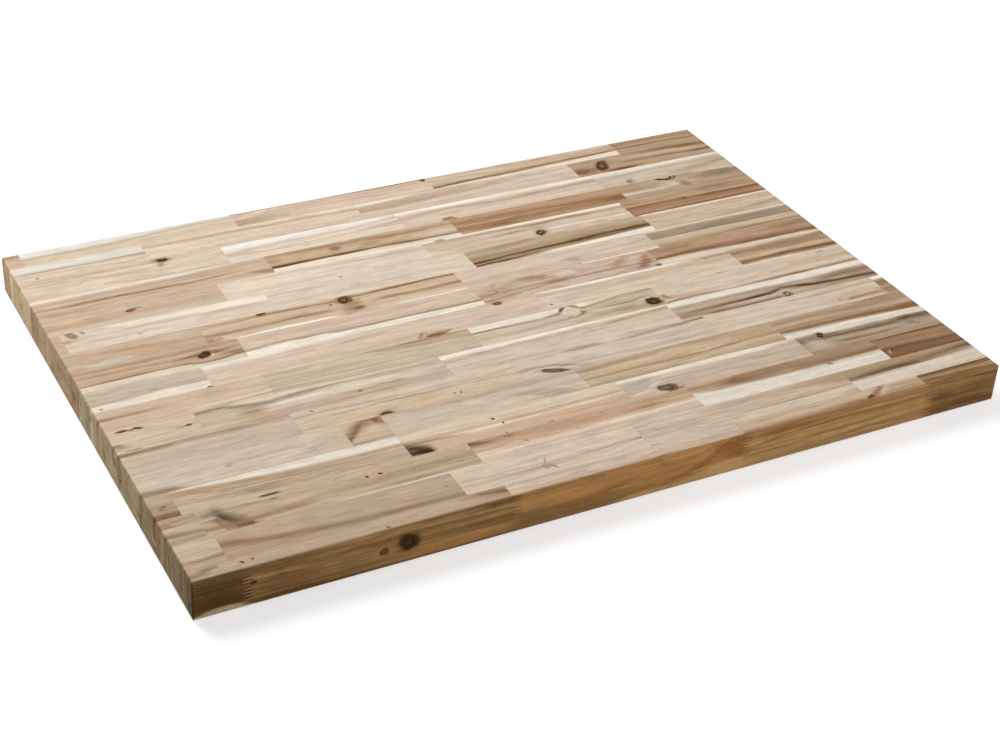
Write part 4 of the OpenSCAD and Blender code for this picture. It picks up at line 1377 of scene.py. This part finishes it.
stave.line(2, [(98, 1.5, 0), (104, 1.5, 1), (118, 1, 1), (124, 1, 0)], DARK, 2.4)
stave.line(2, [(60, 6, 0.3), (85, 8, 0.6), (110, 9, 0.7), (120, 9, 0)], BROWN, 2)
stave.dot(2, 112, 9, 4, 1.3, tilt=-10, colour=BROWN)
stave.line(2, [(84, 30, 0.7), (130, 28, 0.7), (160, 23, 0.3), (200, 22, 0.6), (260, 20, 0.6),
               (320, 19, 0.4)], BROWN, 5)
stave.line(2, [(84, 32, 0.6), (120, 30, 0.7), (150, 30, 0)], BROWN, 2)
stave.line(2, [(180, 15, 0), (230, 19, 0.5), (320, 24, 0.5)], BROWN_TAN, 3)
stave.line(2, [(190, 33, 0), (230, 32, 0.7), (280, 33, 0.5), (320, 30, 0.5)], GREY_BROWN, 2)
stave.border(2, [(130, 40, 0), (180, 37, 0.5), (240, 36, 0.8), (320, 37, 1)], IVORY, 1.4, side="front")
stave.dot(2, 207, 12, 1.8, 1.8)
stave.dot(2, 221, 12, 2.6, 1.9, tilt=-25, colour=BLACK)
stave.border(3, [(320, 20, 0.9), (400, 21, 0.9), (460, 20, 0.8), (575, 21, 0.8)], PINK_BEIGE, 3,
             side="front")
stave.line(3, [(320, 6, 0.9), (370, 5, 0.6), (450, 6, 0.5), (575, 5, 0.4)], BROWN, 5)
stave.line(3, [(320, 3, 1), (332, 5, 0.8), (350, 8, 0)], DARK_LINE, 3)
stave.line(3, [(350, 3, 0), (364, 5, 1), (374, 3, 0)], DARK_LINE, 2)
stave.dot(3, 368, 19, 4, 1.4, tilt=25, colour=BROWN)
stave.dot(3, 378, 19, 3, 1.2, tilt=-35, colour=BROWN)
stave.dot(3, 470, 5, 3, 1.4, tilt=-30, colour=BROWN)
stave.line(3, [(495, 13, 0), (515, 13, 0.9), (530, 12, 0.8), (550, 13, 0)], BROWN, 1.8)
stave.cloud(3, 450, 10, 120, 8, RED_TAN, 0.5)
stave.line(3, [(400, 24, 0), (480, 23, 0.8), (575, 22.5, 1)], IVORY, 3)
stave.line(3, [(330, 31, 0.4), (420, 29, 0.5), (575, 34, 0.4)], GREY_TAN, 2.4)
stave.line(3, [(470, 37, 0.4), (575, 37, 0.5)], GREY_TAN, 2.4)
stave.border(4, [(575, 13, 1), (610, 17, 1), (650, 18, 1), (720, 20, 1), (813, 18, 1)], CREAM, 2.5,
             side="front")
stave.line(4, [(600, 8, 0), (630, 8, 0.9), (690, 8, 0.8), (740, 13, 0.8), (813, 13, 1)], BROWN, 7)
stave.line(4, [(640, 15, 0), (680, 17, 0.5), (740, 16, 0.8), (813, 15, 0.9)], BROWN, 3)
stave.cloud(4, 636, 7, 20, 6, RED_BROWN, 0.9)
stave.dot(4, 628, 10, 5, 1.2, tilt=20, colour=DARK_LINE)
stave.line(4, [(575, 7, 0), (600, 4, 0.3), (720, 3, 0.4), (813, 4, 0.5)], BROWN_TAN, 4)
stave.dot(4, 745, 21, 4, 1.4, tilt=-12, colour=GREY_BROWN)
stave.border(5, [(813, 19, 0.9), (850, 20, 0.9), (914, 24, 0.8)], BROWN, 2, side="front")
stave.line(5, [(813, 22, 0.7), (850, 22, 0.9), (914, 26, 0.9)], WALNUT, 4)
stave.line(5, [(813, 37, 0.5), (870, 36, 0.7), (914, 38, 0.9)], WALNUT, 3)
stave.line(5, [(830, 17, 0), (870, 18, 0.5), (914, 21, 0.5)], TAN, 3)
stave.line(5, [(813, 2, 0.5), (870, 2, 0.8), (914, 3, 0.8)], DARK_LINE, 2.4)
stave.dot(5, 820, 27, 5, 3, tilt=40, colour=TAN)
stave.dot(5, 824, 25, 4, 1.2, tilt=50, colour=DARK)
stave.cloud(1, 18, 20, 10, 30, OLIVE_CREAM, 0.4, face="end")
stave.cloud(1, 36, 24, 2.5, 24, DARK, 0.7, 12, face="end")
stave.sand()

# %% [markdown]
# Stave 16 has one long brown line that crosses its second block on the slant, where the plank was
# sawn a little off the grain. The last block is olive brown behind and nearly white in front.

# %% Stave 16
stave = Stave(16, [47, 287, 491, 749], [
    plank(PALE_BEIGE, PINK_TAN, ring=12, oil=HONEY),
    plank(TAN, GREY_TAN, ring=8, slope=-0.05),
    plank(PINK_BEIGE, PALE_BEIGE, ring=12, slope=0.02, oil=PALE),
    plank(PINK_TAN, GREY_BEIGE, ring=9, slope=-0.02, oil=PALE),
    plank(OLIVE_TAN, TAN, ring=9, oil=AMBER),
], knots=[
    knot(377, 26, 3.4, 2.6, core=BROWN_TAN, halo=TAN, spread=1.8, open=0.3),
])
stave.border(1, [(0, 29, 0.6), (42, 29, 0.6)], WARM_TAN, 3, side="front")
stave.line(1, [(0, 31, 0.9), (20, 33, 1), (42, 31, 1)], BROWN_TAN, 4)
stave.line(1, [(0, 33, 0.3), (20, 33, 0.9), (42, 31, 0.5)], BROWN, 2)
stave.line(2, [(42, 19, 1), (70, 23, 1), (110, 28, 0.9), (160, 33, 1), (210, 35, 1), (282, 37, 0.7)],
           BROWN, 5)
stave.cloud(2, 62, 19, 24, 6, BROWN, 0.9, tilt=-12)
stave.border(2, [(42, 23, 0.5), (110, 31, 0.5), (160, 35, 0.5), (282, 38, 0.4)], BROWN_TAN, 2, side="front")
stave.cloud(2, 150, 8, 60, 7, GREY_TAN, 0.5)
stave.cloud(2, 52, 38, 12, 4, BROWN_TAN, 0.8)
stave.line(2, [(130, 20, 0), (200, 22, 0.4), (282, 26, 0.3)], BROWN_TAN, 3)
stave.dot(2, 270, 18, 2, 1.4, colour=BROWN)
stave.line(3, [(282, 28, 0.5), (340, 26, 0.7), (365, 26, 0.9), (400, 24, 0.9), (440, 22, 0.8),
               (486, 21, 0.6)], BROWN_TAN, 2)
stave.line(3, [(440, 28, 0), (460, 24, 0.6), (486, 21, 0.9)], BROWN_TAN, 2)
stave.dot(3, 380, 29, 6, 1.4, tilt=-50, colour=BROWN)
stave.dot(3, 376, 18, 7, 1, tilt=75, colour=BROWN_TAN)
stave.dot(3, 372, 27, 5, 1, tilt=-70, colour=BROWN)
stave.cloud(3, 396, 26, 14, 4, PINK_TAN, 0.9)
stave.line(4, [(540, 8, 0), (590, 6, 0.6), (660, 8, 0.6), (744, 6, 0.9)], BROWN_TAN, 6)
stave.line(4, [(600, 24, 0), (630, 24.5, 0.7), (700, 23, 0.6), (744, 24, 0.5)], BROWN, 2)
stave.border(4, [(560, 30, 0), (600, 27, 0.6), (744, 28, 0.8)], PALE_BEIGE, 3, side="front")
stave.line(4, [(710, 38, 0), (730, 35, 0.5), (744, 36, 0.8)], BROWN_TAN, 3)
stave.border(4, [(670, 4, 0), (700, 12, 0.5), (744, 18, 0.7)], BROWN_TAN, 4)
stave.border(5, [(744, 20, 1), (790, 18, 1), (850, 19, 1), (914, 15, 1)], CREAM, 2, side="front")
stave.line(5, [(744, 5, 0.3), (800, 6, 0.4), (914, 3, 0.3)], BROWN_TAN, 3)
stave.line(5, [(744, 17, 0.7), (800, 14, 0.9), (830, 14, 1), (860, 12, 0.8), (914, 8, 1)], GREY_BROWN, 6)
stave.line(5, [(744, 18, 0.5), (790, 15.5, 0.9), (808, 15, 1), (835, 15, 1), (842, 15, 0), (870, 10, 0.3),
               (914, 8, 0.8)],
           DARK_LINE, 3)
stave.line(5, [(760, 37, 0), (800, 36, 0.3), (914, 36, 0.5)], GREY_BEIGE, 3)
stave.cloud(1, 20, 22, 50, 50, SMOKE, 0.42, face="end")
stave.cloud(1, 1, 30, 3, 12, CREAM, 0.6, face="end")
stave.sand()

# %% [markdown]
# Stave 17 is the front edge of the panel, 19 mm wide on top and the whole thickness in front. Its
# front face is darker and more golden than any other, so it gets paint of its own: the same
# blocks and rings, but with front tones. The two meet on the eased edge.

# %% Describe the front face
FRONT_GOLD = tone(220, 164, 100)
FRONT_TAN = tone(200, 150, 96)
FRONT_BROWN = tone(160, 122, 80)
FRONT_DARK = tone(106, 74, 42)
FRONT_RED = tone(172, 114, 64)
FRONT_PALE = tone(234, 190, 134)
FRONT_CREAM = tone(240, 220, 178)
FRONT_OLIVE = tone(206, 163, 110)
FRONT_KNOT = tone(64, 50, 34)


def paint_front(self, tones):
    """Paints the front face of each block with its own pale and dark tone."""
    light = self.by_block([pair[0] for pair in tones])
    dark = self.by_block([pair[1] for pair in tones])
    rings = self.noise((120, 40, 3.4), 2.5, 0.6)
    face = self.mix(self.ease(rings, 0.34, 0.66), light, dark)
    face = self.mix(self.late_wood * 0.20, face, FRONT_DARK)
    self.paint = self.mix(self.front, self.paint, face)


Stave.paint_front = paint_front
print("front tones", 9)

# %% [markdown]
# The front face is what a buyer sees first. It has a big round knot near its left end, with a
# small one beside it that the rings flow round, and a long brown flame in the middle. At the left
# corner the sapwood shows as a cream arch at the bottom.

# %% Stave 17
stave = Stave(17, [53, 326, 590, 821], [
    plank(TAN, GREY_TAN, ring=9),
    plank(TAN, GREY_TAN, ring=8),
    plank(PINK_BEIGE, PINK_TAN, ring=9, oil=PALE),
    plank(WARM_TAN, PINK_TAN, ring=8),
    plank(BROWN_TAN, WALNUT, ring=7, oil=PALE),
], knots=[
    knot(212, 20, 10, 8.6, core=FRONT_KNOT, halo=FRONT_DARK, spread=1.7, open=0.5, face="front"),
    knot(187, 23.5, 5, 4, tilt=20, core=FRONT_DARK, halo=FRONT_TAN, spread=2.6, face="front"),
    knot(58, 18, 3.6, 2, core=DARK, halo=FRONT_BROWN, spread=1.6, face="front"),
])
stave.paint_front([
    (FRONT_BROWN, FRONT_DARK),
    (FRONT_OLIVE, FRONT_BROWN),
    (FRONT_GOLD, FRONT_TAN),
    (FRONT_PALE, FRONT_TAN),
    (FRONT_TAN, FRONT_BROWN),
])
stave.line(1, [(8, 8, 0), (14, 8, 1), (28, 6, 0.8), (32, 6, 0)], GREY_BROWN, 2.4)
stave.line(1, [(0, 13, 0.8), (10, 12, 0.8), (24, 12, 0)], BROWN, 3)
stave.dot(2, 53, 9, 2.6, 1.6, tilt=-40)
stave.dot(2, 63, 8, 1.6, 1.6, colour=DARK_LINE)
stave.dot(2, 192, 15, 2.4, 1.8, colour=DARK_LINE)
stave.line(2, [(275, 0, 0), (292, 4, 0.9), (310, 6, 1), (322, 7, 1)], GREY_BROWN, 6)
stave.line(2, [(285, 2, 0), (300, 6, 0.8), (322, 8, 0.9)], WALNUT, 1.6)
stave.line(2, [(260, 1, 0), (285, 7, 0.8), (310, 13, 0.6), (322, 15, 0.3)], BROWN_TAN, 4)
stave.cloud(3, 565, 8, 26, 7, GREY_TAN, 0.5)
stave.line(4, [(590, 15, 0.7), (700, 15, 0.5), (740, 13, 0.6)], TAN, 3)
stave.line(4, [(745, 18, 0.6), (752, 13, 1), (762, 7, 1), (770, 1, 0.6)], RED_BROWN, 5)
stave.line(4, [(755, 18, 0.9), (765, 10, 1), (776, 1, 0.8)], PALE_BEIGE, 3)
stave.dot(4, 746, 15, 6, 3, tilt=20, colour=DARK)
stave.cloud(4, 730, 16, 26, 3, WALNUT, 0.6)
stave.cloud(4, 800, 12, 40, 6, BROWN_TAN, 0.7)
stave.line(4, [(790, 18, 0.8), (815, 18, 0.8)], BROWN, 3)
stave.line(5, [(815, 2, 0.9), (860, 2, 1), (914, 3, 0.9)], DARK_LINE, 3)

front = {"face": "front"}
stave.cloud(1, 28, 24, 44, 26, FRONT_DARK, 0.8, **front)
stave.cloud(2, 86, 24, 44, 28, FRONT_DARK, 0.45, **front)
stave.cloud(5, 868, 26, 60, 22, FRONT_DARK, 0.5, **front)
stave.line(1, [(0, 30, 1), (30, 30, 1), (58, 31, 0.9)], FRONT_DARK, 9, **front)
stave.line(1, [(0, 12, 0.5), (58, 10, 0.6)], FRONT_DARK, 5, **front)
stave.border(1, [(0, 41, 1), (12, 38.5, 1), (35, 37.5, 1), (50, 39, 1), (60, 41, 1)], FRONT_CREAM, 1.5,
             "front", **front)
stave.line(2, [(45, 15, 0.9), (90, 14.5, 0.8), (160, 15.5, 0.4), (175, 16, 0)], FRONT_GOLD, 1.6, **front)
stave.line(2, [(78, 17.5, 0), (86, 17, 1), (95, 16.5, 0)], FRONT_DARK, 1.6, **front)
stave.cloud(2, 95, 25, 30, 8, FRONT_RED, 0.6, **front)
stave.line(2, [(45, 38, 0.5), (110, 41, 0.7), (170, 42, 0)], FRONT_DARK, 3, **front)
stave.line(2, [(60, 4, 0.7), (120, 6, 0.4), (160, 4, 0)], FRONT_DARK, 4, **front)
stave.line(2, [(150, 11, 0), (165, 10, 0.8), (180, 15, 0.9), (192, 20, 0.6)], FRONT_RED, 1.8, **front)
stave.line(2, [(168, 9, 0), (180, 5, 0.8), (196, 2, 0.6)], FRONT_RED, 1.6, **front)
stave.line(2, [(225, 21, 0), (245, 22, 0.7), (290, 26, 0.9), (326, 28, 0.5)], FRONT_BROWN, 4, **front)
stave.line(2, [(190, 36, 0), (225, 34, 0.8), (280, 35, 0.9), (326, 37, 0.8)], FRONT_GOLD, 6, **front)
stave.line(2, [(280, 3, 0), (300, 4, 0.9), (326, 4, 0.8)], FRONT_DARK, 3, **front)
stave.line(2, [(272, 13, 0), (281, 8, 0.8), (284, 7, 0)], FRONT_BROWN, 1.6, **front)
stave.line(2, [(200, 43, 0.5), (326, 43, 0.9)], FRONT_DARK, 2.5, **front)
stave.border(3, [(326, 22, 0.8), (400, 23, 0.8), (440, 26, 0.6), (500, 36, 0)], FRONT_BROWN, 3, "front",
             **front)
stave.line(3, [(326, 13, 0.9), (370, 14, 1), (400, 16, 0.5), (430, 17, 0)], FRONT_GOLD, 6.5, **front)
stave.line(3, [(326, 3, 0.6), (400, 2, 0.5), (480, 4, 0)], FRONT_BROWN, 3, **front)
stave.line(3, [(380, 26, 0), (420, 24, 0.8), (450, 20, 0.8), (465, 17, 0)], FRONT_RED, 3, **front)
stave.border(3, [(420, 45, 0), (450, 38, 0.6), (510, 37, 0.8), (560, 28, 0.9), (590, 26, 0.9)], FRONT_PALE,
             2.5,
             "front", **front)
stave.line(3, [(470, 36, 0), (500, 32, 0.8), (520, 28, 1), (545, 20, 1), (560, 10, 1), (570, 3, 0.8)],
           FRONT_RED, 3.4, **front)
stave.cloud(3, 575, 15, 32, 13, FRONT_RED, 1.0, tilt=-20, **front)
stave.cloud(3, 588, 8, 14, 6, FRONT_DARK, 0.5, **front)
stave.line(4, [(590, 20, 0.9), (620, 16, 0.9), (660, 13, 0.9), (740, 14, 0.7), (821, 13, 0.8)], FRONT_BROWN,
           2.4, **front)
stave.line(4, [(590, 18, 0), (620, 13, 0.7), (660, 10.5, 0.6), (720, 10, 0)], FRONT_PALE, 1.8, **front)
stave.line(4, [(600, 8, 0.5), (650, 6, 0.9), (700, 4, 0.6), (730, 3, 0.8), (800, 4, 0.4)], FRONT_RED, 5,
           **front)
stave.dot(4, 618, 24, 2.2, 2, colour=FRONT_BROWN, **front)
stave.dot(4, 627, 23, 1.8, 1.8, colour=FRONT_BROWN, **front)
stave.dot(4, 665, 31, 2.2, 1.6, tilt=-40, colour=FRONT_BROWN, **front)
stave.line(4, [(600, 30, 0.6), (640, 28, 0.7), (720, 25, 0.4), (740, 24, 0)], FRONT_BROWN, 1.6, **front)
stave.border(4, [(590, 32, 0.7), (650, 30, 0.6), (720, 28, 0)], FRONT_PALE, 4, "front", **front)
stave.line(4, [(620, 39, 0), (680, 37, 0.6), (740, 34, 0.8), (821, 34, 0.5)], FRONT_BROWN, 2.5, **front)
stave.line(4, [(740, 20, 0.5), (780, 21, 0.9), (821, 22, 0.7)], FRONT_GOLD, 4, **front)
stave.line(4, [(590, 42, 0.4), (700, 43, 0.5), (821, 42, 0.6)], FRONT_TAN, 3, **front)
stave.dot(5, 835, 13, 3, 2, colour=FRONT_RED, **front)
stave.dot(5, 845, 12, 2, 1.5, colour=FRONT_RED, **front)
stave.cloud(5, 840, 22, 22, 8, FRONT_DARK, 0.5, **front)
stave.line(5, [(870, 5, 0), (885, 6, 0.9), (914, 6.5, 0.9)], FRONT_DARK, 1.8, **front)
stave.line(5, [(821, 37, 0.4), (870, 38, 0.6), (914, 39, 0.5)], FRONT_DARK, 6, **front)
stave.cloud(1, 10, 24, 40, 50, SMOKE, 0.65, face="end")
stave.cloud(1, 14, 34, 8, 10, BLACK, 0.5, face="end")
stave.sand()
